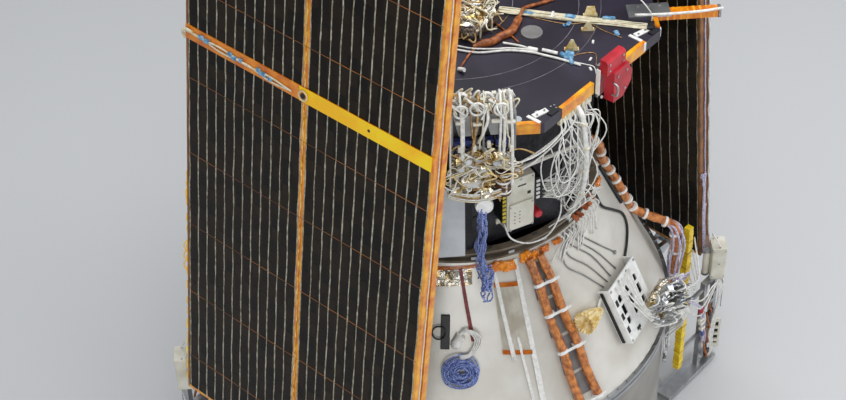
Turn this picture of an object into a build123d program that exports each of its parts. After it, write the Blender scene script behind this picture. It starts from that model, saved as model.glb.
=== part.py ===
from build123d import *
import math
import os

os.makedirs("parts", exist_ok=True)

# A small spacecraft in the test hall, on its launch adapter: an eight-sided deck on struts, a conical
# lower stage, and two solar wings of two panels each, folded up against the deck.
# Millimetres. +Z up, origin at the middle of the adapter's foot on the floor. The wings stand on +X
# and -X, and their hinges run along Y.

# Driving sizes of the bus, from the floor up
skirt_outer_r = 750
skirt_wall = 6
foot_thick = 14
foot_out = 50
foot_in = 50
foot_bolt_out = 30
foot_hole_r = 5.5
foot_hole_count = 24
foot_lip = 50
flange_bottom = 655
flange_top = 695
flange_out = 14
flange_groove = 4
cone_top = 1250
cone_top_r = 478
cone_wall = 5
ring_height = 40
ring_width = 26
ring_web = 8
wall_inset = 53
inner_wall_thick = 8
deck_top = 1945
deck_thick = 38
deck_apothem = 594
slant_apothem = 627
seat_gap = 0.3

# Driving sizes of the struts between the upper ring and the deck, and of the rail on each strut
strut_r = 11
strut_count = 4
strut_turn = 10.3
strut_lean = 14.8
strut_deck_in = 39
strut_foot_height = 18
strut_head_height = 12
strut_pad = 44
strut_past = 0.1
rail_r = 7
rail_height = 310
rail_out = 54
rail_past = 40

# Driving sizes of a wing: two stacked panels, hinged at the top edge
wing_width = 1010
wing_above_bar = 611
wing_below_bar = 1475
wing_lean = 7.5
wing_stand_off = 38
bar_over_deck = 43
bar_height = 50
bar_thick = 4
panel_thick = 22
panel_gap = 12
cell_pitch = 40
cell_columns = 12
cell_joint = 1.6
cell_thick = 1
centre_strip = 25
cell_margin = 10
bar_clear = 2

# Driving sizes of the hinges
panel_axis_rise = 16
panel_hinge_y = 400
panel_pin_r = 3
panel_knuckle_r = 9
knuckle_web = 12
root_axis_drop = 30
root_hinge_y = 330
root_pin_r = 5
root_knuckle_r = 14
lug_half = 11.5
lug_foot = 20
lug_slim = 2
ear_gap = 0.5
ear_width = 18
pin_play = 0.08
edge_plate = 6

# Driving sizes of the hold-downs
hold_down_y = 120
hold_down_foot = (54, 64, 6)
hold_down_plate = 7
hold_down_over = 26
hold_down_in = 2
hold_down_r = 12
cup_rooted = 6
bar_hole_y = -258
bar_hole_r = 5
release_ring_r = 11
release_ring_wall = 5
release_ring_long = 6

foot_outer_r = skirt_outer_r + foot_out
foot_inner_r = skirt_outer_r - foot_in
flange_outer_r = skirt_outer_r + flange_out
lip_outer_r = skirt_outer_r - skirt_wall
deck_bottom = deck_top - deck_thick
ring_top = cone_top + ring_height
wall_apothem = cone_top_r - wall_inset
bar_level = deck_top + bar_over_deck
wing_face_x = deck_apothem + wing_stand_off
stack_thick = 2 * panel_thick + panel_gap
cone_slope = math.atan2(skirt_outer_r - cone_top_r, cone_top - flange_top)


def block(x, y, z, middle=(0, 0, 0)):
    """A box of the given size about a middle point."""
    return Pos(*middle) * Box(x, y, z)


def octagon(square, slant):
    """Eight-sided outline: four sides square to X and Y, and four between them, by their apothems."""
    return Rectangle(2 * square, 2 * square) & Rot(0, 0, 45) * Rectangle(2 * slant, 2 * slant)


def wall_prism(apothem):
    """The eight-sided column that the inner wall follows, as high as the wall."""
    return Pos(0, 0, ring_top) * Rot(0, 0, 22.5) * extrude(
        octagon(apothem, apothem), amount=deck_bottom - ring_top)


def ring(outer, inner, z0, z1):
    """A plain round ring between two heights."""
    return Pos(0, 0, z0) * extrude(Circle(outer) - Circle(inner), amount=z1 - z0)


def rod(start, end, radius):
    """A straight round bar from one point to another."""
    line = Vector(*end) - Vector(*start)
    return extrude(Plane(origin=start, z_dir=line) * Circle(radius), amount=line.length)


def harness(points, radius):
    """A bound cable run, its bends as wide as the runs beside them allow."""
    route = [Vector(*p) for p in points]
    bends = []
    for before, here, after in zip(route, route[1:], route[2:]):
        first, second = here - before, after - here
        half_turn = math.radians(first.get_angle(second)) / 2
        bends.append(0.45 * min(first.length, second.length) / math.tan(half_turn))
    path = FilletPolyline(*route, radius=bends)
    return sweep(Plane(origin=path @ 0, z_dir=path % 0) * Circle(radius), path=path)


def polar(radius, azimuth, z):
    """The point at a radius and azimuth about the centre line."""
    turn = math.radians(azimuth)
    return (radius * math.cos(turn), radius * math.sin(turn), z)


def face_point(azimuth, out, along, z):
    """The point in front of a flat side: its distance from the centre line, then along the side."""
    turn = math.radians(azimuth)
    return (out * math.cos(turn) - along * math.sin(turn), out * math.sin(turn) + along * math.cos(turn), z)


def cone_r(z):
    """Outer radius of the cone at a height."""
    share = (z - flange_top) / (cone_top - flange_top)
    return skirt_outer_r + share * (cone_top_r - skirt_outer_r)


def on_cone(azimuth, z):
    """Place on the cone's face: X square off the face, Y round it, Z up it."""
    return Rot(0, 0, azimuth) * Pos(cone_r(z), 0, z) * Rot(0, -math.degrees(cone_slope), 0)


def cone_room(low, high):
    """The solid room under the cone's face between two heights, with the seat's gap."""
    outline = Polyline((0, low), (cone_r(low) + seat_gap, low), (cone_r(high) + seat_gap, high),
                       (0, high), close=True)
    return revolve(Plane.XZ * make_face(outline), Axis.Z)


def save(name, *solids):
    """Write one piece, or a group of like pieces that do not touch."""
    shape = solids[0] if len(solids) == 1 else Compound(children=list(solids))
    export_step(shape, f"parts/{name}.step")


def build_adapter():
    """The bolted foot, the skirt and the flange that the cone stands on."""
    foot = ring(foot_outer_r, foot_inner_r, 0, foot_thick)
    foot -= PolarLocations(skirt_outer_r + foot_bolt_out, foot_hole_count) * Cylinder(
        foot_hole_r, 4 * foot_thick)
    foot += ring(lip_outer_r, lip_outer_r - skirt_wall, foot_thick, foot_lip)
    save("adapter_foot", foot)
    save("adapter_skirt", ring(skirt_outer_r, lip_outer_r, foot_thick, flange_bottom))
    middle = (flange_bottom + flange_top) / 2
    flange = ring(flange_outer_r, lip_outer_r - skirt_wall, flange_bottom, flange_top)
    flange -= ring(flange_outer_r + 1, skirt_outer_r + flange_groove,
                   middle - flange_groove / 2, middle + flange_groove / 2)
    save("cone_flange", flange)


def build_cone():
    """The conical shell and the channel ring that closes its top."""
    outline = Polyline(
        (skirt_outer_r, flange_top), (cone_top_r, cone_top),
        (cone_top_r - cone_wall, cone_top), (skirt_outer_r - cone_wall, flange_top), close=True)
    save("cone_shell", revolve(Plane.XZ * make_face(outline), Axis.Z))
    channel = ring(cone_top_r, cone_top_r - ring_width, cone_top, ring_top)
    channel -= ring(cone_top_r + 1, cone_top_r - ring_width + ring_web,
                    cone_top + ring_web, ring_top - ring_web)
    save("upper_ring", channel)


def build_struts():
    """Four leaning tubes from the upper ring to the deck, each with a rail bent back to the wall."""
    low = ring_top + strut_foot_height
    high = deck_bottom - strut_head_height
    slab = block(4 * deck_apothem, 4 * deck_apothem, high - low, (0, 0, (low + high) / 2))
    tubes, pads = [], []
    foot_r = cone_top_r - ring_width / 2
    head_r = deck_apothem - strut_deck_in
    for number in range(strut_count):
        turn = Rot(0, 0, 360 / strut_count * number)
        foot = Vector(*polar(foot_r, strut_turn, low))
        head = Vector(*polar(head_r, strut_turn - strut_lean, high))
        line = head - foot
        tube = rod(foot - line * strut_past, head + line * strut_past, strut_r) & slab
        start = foot + line * (rail_height / line.Z)
        corner = face_point(-22.5, wall_apothem + rail_out, -rail_past, start.Z)
        wall_end = face_point(-22.5, wall_apothem + seat_gap, -rail_past, start.Z)
        rail = rod(start, corner, rail_r) + rod(corner, wall_end, rail_r) + Pos(*corner) * Sphere(rail_r)
        tubes.append(turn * (tube + rail))
        pads.append(turn * Rot(0, 0, strut_turn) * block(
            ring_width, 2 * strut_pad, strut_foot_height, (foot_r, 0, low - strut_foot_height / 2)))
        pads.append(turn * Rot(0, 0, strut_turn - strut_lean) * block(
            strut_pad, strut_pad, strut_head_height, (head_r, 0, high + strut_head_height / 2)))
    save("deck_struts", *tubes)
    save("strut_fittings", *pads)


def build_deck():
    """The eight-sided deck, and the dark closed wall under it."""
    save("deck_plate", Pos(0, 0, deck_bottom) * extrude(
        octagon(deck_apothem, slant_apothem), amount=deck_thick))
    save("inner_wall", wall_prism(wall_apothem) - wall_prism(wall_apothem - inner_wall_thick))


# Corner brackets on each square side of the deck: a strap with its drop over the edge, a plate beside
# it and a dark target block at the edge. Places along the side of the strap; the rest follows it.
strap_size = (11, 48, 3)
strap_drop = 30
strap_along = (-300.5, 208)
strap_in = 11
bracket_plate = (52, 19, 3)
bracket_plate_turn = -14
bracket_plate_place = (35, 38)
target_size = (34, 18, 5)
target_place = (62, 12)


def build_corner_brackets():
    """Strap, plate and target at both ends of each square side."""
    straps, targets = [], []
    for number in range(4):
        turn = Rot(0, 0, 90 * number)
        for along in strap_along:
            width, length, thick = strap_size
            inner = -deck_apothem + strap_in + length / 2
            strap_top = block(width, length, thick, (along, inner, deck_top + thick / 2))
            plate_along, plate_in = bracket_plate_place
            plate = Pos(along + plate_along, plate_in - deck_apothem, deck_top + bracket_plate[2] / 2) * Rot(
                0, 0, bracket_plate_turn) * block(*bracket_plate)
            straps += [turn * strap_top, turn * plate]
            targets.append(turn * Pos(along + target_place[0], target_place[1] - deck_apothem,
                                      deck_top + target_size[2] / 2) * block(*target_size))
            if abs(along) < math.sqrt(2) * slant_apothem - deck_apothem:
                straps.append(turn * block(width, thick, strap_drop, (
                    along, -deck_apothem - thick / 2, deck_top - strap_drop / 2)))
            else:
                edge_y = along + math.sqrt(2) * slant_apothem
                side = (edge_y - abs(along)) / math.sqrt(2)
                straps.append(turn * Rot(0, 0, -135) * block(thick, width, strap_drop, (
                    slant_apothem + thick / 2, -side, deck_top - strap_drop / 2)))
    save("corner_straps", *straps)
    save("corner_targets", *targets)


# Outriggers: square bars bolted on two of the deck's slanted sides
outrigger_length = 202
outrigger_width = 26
outrigger_height = 30
outrigger_root_size = (135, 68)
outrigger_root_in = 22
outrigger_root_thick = 5
outrigger_offset = -112
outrigger_azimuths = (-45, 135)


def build_outriggers():
    """Square bars that reach out from the deck, with the bracket that holds each one."""
    bars, roots = [], []
    for azimuth in outrigger_azimuths:
        bars.append(Rot(0, 0, azimuth) * block(
            outrigger_length, outrigger_width, outrigger_height,
            (slant_apothem + seat_gap + outrigger_length / 2, outrigger_offset,
             deck_top - outrigger_height / 2)))
        roots.append(Rot(0, 0, azimuth) * block(
            *outrigger_root_size, outrigger_root_thick,
            (slant_apothem - outrigger_root_in, outrigger_offset, deck_top + outrigger_root_thick / 2)))
    save("outriggers", *bars)
    save("outrigger_roots", *roots)


# Red guard over the connector on the -Y side of the deck
guard_plate_size = (114, 8, 120)
guard_plate_middle = (13, 1950)
guard_upper = (92, 28, 52)
guard_upper_x = 10
guard_split = 1979
guard_bevel = 7
guard_lower_depth = 36
guard_lower = [(-8, 1865), (41, 1862), (80, 1900), (84, 1940), (68, 1966), (66, 1979), (-8, 1979)]


def build_guard():
    """The red guard: an upper box and a lower one with a swollen side, on the connector's plate."""
    width, thick, height = guard_plate_size
    back_y = -deck_apothem - thick
    save("guard_plate", block(width, thick, height, (
        guard_plate_middle[0], back_y + thick / 2, guard_plate_middle[1])))
    upper = block(*guard_upper, (
        guard_upper_x, back_y - guard_upper[1] / 2, guard_split + guard_upper[2] / 2))
    upper = chamfer(upper.edges().filter_by(Axis.X).group_by(Axis.Y)[0].group_by(Axis.Z)[-1], guard_bevel)
    lower = Pos(0, back_y, 0) * extrude(
        Plane.XZ * make_face(Polyline(*guard_lower, close=True)), amount=guard_lower_depth)
    save("red_guard", upper + lower)


# Instrument tower on the slanted side at azimuth -135: X outwards from the deck's side, Y along it
tower_azimuth = -135
tower_y = 24
tower_width = 190
tower_depth = 84
tower_high = 2062
tower_plate = 6
tower_front_low = 1985
tower_front_taper = 0.2
foil_low = 1735
foil_high = 1920
foil_back = 4
foil_out = 8
foil_in = 6
foil_round = 24
foil_bevel = 30
disc_r = 26
disc_thick = 14
disc_place = (1, 1722)
collar_r = 25
collar_bore = 17
collar_long = 12
collar_y = -10
coil_r = 24
coil_place = (76, 60)
coil_low = 1752
coil_high = 1840
coil_bands = 4
coil_groove = 4
coil_room = 2
socket_r = 8
socket_height = 22
socket_rows = [(20, (-84, -60, -36, -12, 12, 36, 60, 84)), (60, (-24,))]
loop_y = (-60, 12, 60)
loop_x = 50
loop_rise = 30
loop_r = 18
loop_cord_r = 4.5
loop_tilt = 48
loop_clear = 0.5
loop_over = (20, -2)
loop_bend = 12
side_cords = [(-2, 1862), (-4, 1870)]
middle_cord = [(0, -16, 1998), (-6, -26, 1968), (-20, -28, 1950), (-53, -28, 1944)]
connector_size = (16, 18, 24)
connector_x = 48
connector_y = (-74, -44, 22, 48, 74)


def build_tower():
    """Grey plates on the deck's side, a foil-wrapped unit under them, and looped cables over them."""
    turn = Rot(0, 0, tower_azimuth) * Pos(slant_apothem, tower_y, 0)
    plate_low = foil_high + seat_gap
    height = tower_high - plate_low
    front = tower_depth + seat_gap
    back = block(tower_plate, tower_width, height, (tower_plate / 2 + seat_gap, 0, plate_low + height / 2))
    ribs = [block(front - tower_plate, tower_plate, height,
                  ((front + tower_plate) / 2, y, plate_low + height / 2))
            for y in (-tower_width / 2 + tower_plate / 2, 0, tower_width / 2 - tower_plate / 2)]
    shelf = block(tower_depth, tower_width, tower_plate,
                  (tower_depth / 2 + seat_gap, 0, tower_high - tower_plate / 2))
    frame = back + ribs + shelf
    bay = tower_width / 2 - 1.5 * tower_plate
    for side in (-1, 1):
        taper = tower_front_taper * bay
        face = Polyline((0, tower_high), (bay, tower_high), (bay - taper, tower_front_low),
                        (taper, tower_front_low), close=True)
        plate = extrude(Plane.YZ * make_face(face), amount=tower_plate)
        plate = plate if side > 0 else mirror(plate, Plane.XZ)
        frame += Pos(front - tower_plate, side * tower_plate / 2, 0) * plate
    bevel = Pos(tower_depth + foil_out - foil_bevel / 2, 0, foil_high - foil_bevel / 2) * Rot(0, 45, 0)
    frame -= bevel * Pos(0, collar_y, 0) * Cylinder(collar_r + coil_room, 2 * collar_long + coil_room)
    save("tower_frame", turn * frame)
    save("tower_sockets", *[turn * Pos(x, y, tower_high) * extrude(Circle(socket_r), amount=socket_height)
                            for x, row in socket_rows for y in row])

    foil_front = tower_depth + foil_out
    foil_width = tower_width - 2 * foil_in
    wrap = block(foil_front - foil_back, foil_width, foil_high - foil_low,
                 ((foil_front + foil_back) / 2, 0, (foil_high + foil_low) / 2))
    wrap = fillet(wrap.edges().filter_by(Axis.Z), foil_round)
    wrap -= bevel * Pos(0, 0, foil_bevel) * Box(4 * foil_bevel, tower_width, 2 * foil_bevel)
    coil_x, coil_y = coil_place
    notch = (2 * coil_r + foil_out, 2 * coil_r + foil_width / 2, coil_high - coil_low + 2 * seat_gap)
    notch_edge = coil_r + coil_room
    wrap -= block(*notch, (coil_x - notch_edge + notch[0] / 2, coil_y - notch_edge + notch[1] / 2,
                           (coil_high + coil_low) / 2))
    save("tower_foil", turn * wrap)
    coil = Pos(coil_x, coil_y, coil_low) * extrude(Circle(coil_r), amount=coil_high - coil_low)
    for number in range(coil_bands):
        z = coil_low + (number + 1) * (coil_high - coil_low) / (coil_bands + 1)
        coil -= Pos(coil_x, coil_y, 0) * ring(2 * coil_r, coil_r - coil_groove, z, z + coil_groove)
    save("tower_coil", turn * coil)
    lens = Pos(foil_front + seat_gap + disc_thick / 2, *disc_place) * Rot(0, 90, 0) * Cylinder(
        disc_r, disc_thick)
    save("tower_disc", turn * lens)
    collar = bevel * Pos(0, collar_y, collar_long / 2 + seat_gap) * (
        Cylinder(collar_r, collar_long) - Cylinder(collar_bore, 2 * collar_long))
    save("tower_collar", turn * collar)
    save("tower_connectors", *[turn * block(*connector_size, (
        connector_x, y, foil_high + seat_gap + connector_size[2] / 2)) for y in connector_y])

    tilt = math.radians(loop_tilt)
    low_x = loop_x + loop_r * math.cos(tilt)
    low_z = tower_high + loop_rise - loop_r * math.sin(tilt)
    hang_x = foil_front + loop_cord_r + loop_clear
    over = [(low_x, 0, low_z), (low_x + loop_over[0], 0, low_z + loop_over[1]),
            (hang_x, 0, tower_high - loop_bend)]
    first, last = [over + [(hang_x, 0, tower_front_low), (hang_x, sway, foil_high - foil_bevel),
                           (hang_x, sway, low)] for sway, low in side_cords]
    middle = over + [(hang_x + x, y, z) for x, y, z in middle_cord]
    middle.append((*middle[-1][:2], foil_high + seat_gap))
    down = [first, middle, last]
    hoops = []
    for y, route in zip(loop_y, down):
        eye = Pos(loop_x, y, tower_high + loop_rise) * Rot(0, loop_tilt, 0) * Torus(loop_r, loop_cord_r)
        cord = harness([(px, y + py, pz) for px, py, pz in route], loop_cord_r)
        hoops.append(turn * (eye + cord))
    save("tower_cables", *hoops)


# Closeout panel hung from the deck on the same side, beside the tower
closeout_y = -134
closeout_in = 12
closeout_width = 220
closeout_low = 1418
closeout_high = 1702
closeout_thick = 10
closeout_strap = 24


def build_closeout():
    """The pale flat panel and the two straps that hang it from the deck."""
    face = slant_apothem - closeout_in
    panel = block(closeout_thick, closeout_width, closeout_high - closeout_low,
                  (face, closeout_y, (closeout_low + closeout_high) / 2))
    for side in (-1, 1):
        panel += block(closeout_thick / 2, closeout_strap, deck_bottom - closeout_high,
                       (face, closeout_y + side * (closeout_width / 2 - closeout_strap),
                        (deck_bottom + closeout_high) / 2))
    save("closeout_panel", Rot(0, 0, tower_azimuth) * panel)


# Boxes on the inner wall: azimuth of the wall's side, offset along it, width, depth, low and high edge
electronics = (-112.5, -16, 98, 54, 1365, 1580)
avionics = [(22.5, 0, 200, 70, 1390, 1690), (67.5, 10, 220, 90, 1330, 1590),
            (157.5, -10, 240, 60, 1370, 1590)]
box_round = 4
box_flange = (6, 12, 20)
cover_size = (7, 86, 104)
strip_size = (50, 14, 152)
strip_rise = 6
lead_block = (56, 26, 92)
lead_block_z = 1506
cap_r = 12
cap_z = 1404


def wall_box(azimuth, offset, width, depth, low, high):
    """A box whose back seats on the inner wall, with a flange along its foot."""
    out = wall_apothem + seat_gap
    body = block(depth, width, high - low, (out + depth / 2, offset, (low + high) / 2))
    body = fillet(body.edges().filter_by(Axis.X), box_round)
    thick, beyond, height = box_flange
    body += block(thick, width + 2 * beyond, height, (out + thick / 2, offset, low + height / 2))
    return Rot(0, 0, azimuth) * body


def build_boxes():
    """The electronics box with its strip, lead block and cap, and the other boxes round the wall."""
    azimuth, offset, width, depth, low, high = electronics
    turn = Rot(0, 0, azimuth)
    out = wall_apothem + seat_gap
    thick, cover_width, cover_high = cover_size
    cover = block(thick, cover_width, cover_high, (
        out + depth + thick / 2, offset, low + box_flange[2] / 2 + cover_high / 2))
    save("electronics_box", wall_box(*electronics) + turn * cover)
    right = offset + width / 2 + seat_gap + lead_block[1] / 2
    strip = block(*strip_size, (out + strip_size[0] / 2, offset - width / 2 - seat_gap - strip_size[1] / 2,
                                (low + high) / 2 + strip_rise))
    leads = block(*lead_block, (out + lead_block[0] / 2, right, lead_block_z))
    cap = Pos(out, right, cap_z) * Rot(0, 90, 0) * extrude(Circle(cap_r), amount=depth + thick)
    save("box_fittings", turn * strip, turn * leads, turn * cap)
    save("avionics_boxes", *[wall_box(*size) for size in avionics])


# White leads from the deck's edge to the lead block: round the wall's side, fanned by a fixed step
lead_r = 3
lead_count = 7
lead_end_outs = (45, 35, 20)
lead_under = 24
lead_side = 40
lead_low = 6
fan_start = [(560, 60, deck_bottom - seat_gap), (560, 60, 1870), (575, 62, 1760), (550, 75, 1640),
             (505, 105, 1580), (470, 84, 1545)]
fan_step = [(0, 14, 0), (0, 14, 0), (0, 14, -6), (2, 12, -10), (3, 9, -13), (0, 5, -13)]
loose_leads = [
    [(56, -570, deck_bottom - seat_gap), (56, -570, 1860), (92, -560, 1700), (112, -520, 1520),
     (100, -492, 1400), (20, -488, 1342), (-60, -480, 1376), (-100, -464, 1424)],
    [(28, -580, deck_bottom - seat_gap), (28, -580, 1850), (50, -578, 1720), (70, -545, 1560),
     (60, -520, 1450), (20, -505, 1400), (-40, -482, 1402), (-77.9, -449.4, 1424)]]


def build_leads():
    """Seven leads fanned down to the side of the lead block, and two long loops to it."""
    azimuth, offset, width = electronics[:3]
    right = offset + width / 2 + seat_gap + lead_block[1] / 2
    end_along = right + lead_block[1] / 2 + seat_gap
    leads = []
    for number in range(lead_count):
        route = [(out + number * a, along + number * b, z + number * c)
                 for (out, along, z), (a, b, c) in zip(fan_start, fan_step)]
        end = (wall_apothem + lead_end_outs[0], end_along, route[-1][2])
        leads.append(harness([face_point(azimuth, *point) for point in route + [end]], lead_r))
    low_end = lead_block_z - lead_block[2] / 2 - seat_gap
    under = [face_point(azimuth, wall_apothem + lead_end_outs[1], right, z)
             for z in (low_end - lead_under, low_end)]
    side = [face_point(azimuth, wall_apothem + lead_end_outs[2], along, lead_block_z - lead_low)
            for along in (end_along + lead_side, end_along)]
    leads.append(harness(loose_leads[0] + under, lead_r))
    leads.append(harness(loose_leads[1] + side, lead_r))
    save("box_leads", *leads)


# Things on the deck: cable runs by their points, then plates
deck_run_r = 11
lead_white_r = 6
ribbon_r = 3.3
ribbon_count = 4
ribbon_turn = 27.5
orange_route = [(-122, -214), (-92, -234), (-56, -236), (-22, -246), (14, -236), (46, -222)]
ribbon_route = [(52, -134), (64, -162), (118, -258), (182, -380), (236, -478), (262, -526)]
white_route = [(-196, -160), (-160, -232), (-96, -292), (-52, -360), (-30, -430), (-16, -480), (-10, -520)]
tab_places = [(211, -382, 45, 24, 40), (148, -420, 40, 10, 34), (36, -442, 45, 8, 42)]
tab_turn = -50
tab_foot = 16
tab_thick = 3
deck_disc_middle = (28, -292)
deck_disc_r = 34
deck_disc_thick = 4
unit_middle = (-72, -128)
unit_size = (150, 120, 66)
unit_round = 20


def build_deck_runs():
    """Cable runs that lie on the deck, with the small plates and the foil-wrapped unit there."""
    orange_z = deck_top + deck_run_r + seat_gap
    save("deck_harness", harness([(x, y, orange_z) for x, y in orange_route], deck_run_r))
    ribbon_z = deck_top + ribbon_r + seat_gap
    across = math.radians(ribbon_turn)
    runs = []
    for number in range(ribbon_count):
        shift = (number - (ribbon_count - 1) / 2) * (2 * ribbon_r + 0.4)
        runs.append(harness([(x + shift * math.cos(across), y + shift * math.sin(across), ribbon_z)
                             for x, y in ribbon_route], ribbon_r))
    save("deck_ribbon", *runs)
    white_z = deck_top + lead_white_r + seat_gap
    save("white_lead", harness([(x, y, white_z) for x, y in white_route], lead_white_r))
    tabs = []
    for x, y, width, crown, height in tab_places:
        outline = Polyline((-width / 2, 0), (width / 2, 0), (crown / 2, height), (-crown / 2, height),
                           close=True)
        upright = extrude(Plane.XZ * make_face(outline), amount=tab_thick)
        foot = block(width, tab_foot, tab_thick, (0, tab_foot / 2 - tab_thick, tab_thick / 2))
        tabs.append(Pos(x, y, deck_top) * Rot(0, 0, tab_turn) * (upright + foot))
    save("deck_tabs", *tabs)
    save("deck_disc", Pos(*deck_disc_middle, deck_top + deck_disc_thick / 2) * Cylinder(
        deck_disc_r, deck_disc_thick))
    unit = block(*unit_size, (*unit_middle, deck_top + unit_size[2] / 2))
    save("deck_unit", fillet(unit.edges().filter_by(Axis.Z), unit_round))


# Runs down the cone: the heights of their points, and the X of each run at its top and at its foot
cone_run_r = 15
cone_run_seat = 0.6
cone_run_sway = 3
cone_run_heights = (1236, 1150, 1040, 930, 820, 730)
cone_run_x = [(-186, -212), (-146, -140)]
side_run_azimuth = -43
side_run_sway = 0.5
side_run_heights = (1238, 1150, 1055, 970)
side_run_drop = [(26, -44.5, 900), (34, -45.6, 840), (36, -45.9, 750), (32, -46, 630)]


def cone_point(x, z, rise):
    """Point over the front of the cone at a given X, raised square off its face."""
    radius = cone_r(z) + rise / math.cos(cone_slope)
    return (x, -math.sqrt(radius ** 2 - x ** 2), z)


def build_cone_runs():
    """Two bound runs down the front of the cone, and the run down its side to the hinge tower."""
    rise = cone_run_r + cone_run_seat
    runs = []
    for top_x, foot_x in cone_run_x:
        points = []
        for number, z in enumerate(cone_run_heights):
            x = top_x + (foot_x - top_x) * number / (len(cone_run_heights) - 1)
            points.append(cone_point(x + (cone_run_sway if number % 2 else -cone_run_sway), z, rise))
        runs.append(harness(points, cone_run_r))
    points = [polar(cone_r(z) + rise / math.cos(cone_slope),
                    side_run_azimuth + (side_run_sway if number % 2 else -side_run_sway), z)
              for number, z in enumerate(side_run_heights)]
    points += [polar(skirt_outer_r + out, azimuth, z) for out, azimuth, z in side_run_drop]
    runs.append(harness(points, cone_run_r))
    save("cone_harness", *runs)


# Flat straps down the cone: azimuth and height of the upper end, then of the lower end, and width
cone_straps = [(-125.7, 1236, -122.6, 930, 13), (-116.8, 1240, -116.2, 770, 17),
               (-138.3, 1236, -134.7, 1010, 12), (-153, 1236, -150, 900, 14)]
cone_strap_thick = 2.5


def build_cone_straps():
    """Straps from the upper ring down the cone's face, each a little askew to it."""
    straps = []
    for top_azimuth, top, low_azimuth, low, width in cone_straps:
        z = (top + low) / 2
        length = (top - low) / math.cos(cone_slope)
        skew = math.radians(top_azimuth - low_azimuth) * cone_r(z)
        straps.append(on_cone((top_azimuth + low_azimuth) / 2, z) * Rot(
            -math.degrees(math.atan2(skew, length)), 0, 0) * block(
            cone_strap_thick, width, length, (cone_strap_thick / 2 + 0.5, 0, 0)))
    save("cone_straps", *straps)


# Slotted bracket on the front of the cone
slot_plate_azimuth = -78.2
slot_plate = (5, 196, 226)
slot_plate_z = 905
slot_plate_out = 34
slot_plate_wall = 5
slot_size = (24, 120)
slot_y = (-58, 0, 58)
slot_rise = 6


def build_slot_plate():
    """A plate stood off the cone on two side walls, with three long slots cut in it."""
    thick, width, height = slot_plate
    plate = block(thick, width, height, (slot_plate_out, 0, 0))
    for y in slot_y:
        plate -= Pos(slot_plate_out, y, slot_rise) * Rot(0, 90, 0) * extrude(
            SlotOverall(slot_size[1], slot_size[0]), amount=4 * thick, both=True)
    for side in (-1, 1):
        plate += block(2 * slot_plate_out, slot_plate_wall, height,
                       (0, side * (width / 2 - slot_plate_wall / 2), 0))
    shape = on_cone(slot_plate_azimuth, slot_plate_z) * plate
    save("slotted_bracket", shape - cone_room(slot_plate_z - height, slot_plate_z + height))


# Valve cluster bolted on the bracket, and the small pleated heat shield on the other side
cluster_size = (52, 150, 112)
cluster_place = (106, -90)
cluster_round = 22
shield_small = (16.3, -90.5, 967)
shield_large = (40, -99.8, 985)
shield_r = (12, 40)
shield_pleats = 12
shield_fold = 0.84


def build_cone_units():
    """The foil-wrapped valve cluster on the bracket, and the pleated gold shield on the cone."""
    out = slot_plate_out + slot_plate[0] / 2 + seat_gap
    body = block(*cluster_size, (out + cluster_size[0] / 2, *cluster_place))
    body = fillet(body.edges().filter_by(Axis.X), cluster_round)
    save("valve_cluster", on_cone(slot_plate_azimuth, slot_plate_z) * body)
    small, large = [Vector(*polar(cone_r(z) + rise, azimuth, z))
                    for rise, azimuth, z in (shield_small, shield_large)]
    axis = large - small
    sections = []
    for place, radius in ((small, shield_r[0]), (large, shield_r[1])):
        points = []
        for number in range(2 * shield_pleats):
            turn = math.pi * number / shield_pleats
            reach = radius * (1 if number % 2 else shield_fold)
            points.append((reach * math.cos(turn), reach * math.sin(turn)))
        sections.append(Plane(origin=place, x_dir=(0, 0, 1), z_dir=axis) * make_face(
            Polyline(*points, close=True)))
    height = 2 * shield_r[1]
    save("pleated_shield", loft(sections) - cone_room(small.Z - height, large.Z + height))


# Hinge tower beside each wing's root: a post frame on the adapter's foot
tower_post_y = -570
base_half = 30
base_thick = 16
base_clear = 24.5
base_reach = 310
wrapped_from_base = 83
frame_from_base = 255
frame_post = 20
frame_depth = 70
frame_top = 470
frame_rungs = (60, 200, 340, 460)
arm_rungs = (200, 440)
arm_size = (12, 16)
drive_size = (72, 56, 150)
drive_x_past = 38
drive_turn = -135
drive_round = 5
can_r = 13
can_length = 116
wrapped_low = 120
wrapped_set_back = 12
wrapped_joint = 490
wrapped_high = 860
wrapped_size = 24
slot_tag = (8, 46, 156)
slot_tag_place = (66, -5, 124)
slot_tag_holes = [(-52, 30, 12), (-22, 30, 22), (12, 30, 22), (48, 30, 26)]
slot_tag_arm = (15.3, 12, 12)

base_x = math.sqrt(skirt_outer_r ** 2 - (abs(tower_post_y) - base_half) ** 2) + base_clear
wrapped_x = base_x + wrapped_from_base
frame_x = base_x + frame_from_base
drive_x = frame_x + drive_x_past


def wing_place(number):
    """Turn for wing 0, on +X, or wing 1, the same wing turned half round onto -X."""
    return Rot(0, 0, 180 * number)


def wing_plane():
    """Place of a wing's own frame: X out through the panels, Y along the hinges, Z up the wing."""
    return Pos(wing_face_x, 0, bar_level) * Rot(0, -wing_lean, 0)


def wing_point(out, up):
    """Point of the wing's frame in the part's frame, for the wing on +X."""
    lean = math.radians(wing_lean)
    return (wing_face_x + out * math.cos(lean) - up * math.sin(lean),
            bar_level + out * math.sin(lean) + up * math.cos(lean))


root_axis = wing_point(panel_thick / 2, -wing_below_bar - root_axis_drop)
panel_axis = wing_point(panel_thick + panel_gap / 2, wing_above_bar + panel_axis_rise)

# Root brackets: a pad on the skirt with two arms out to the hinge line
pad_width = 96
pad_height = 190
pad_drop = 15
pad_depth = 160
arm_low = 90
arm_high = 60


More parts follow.
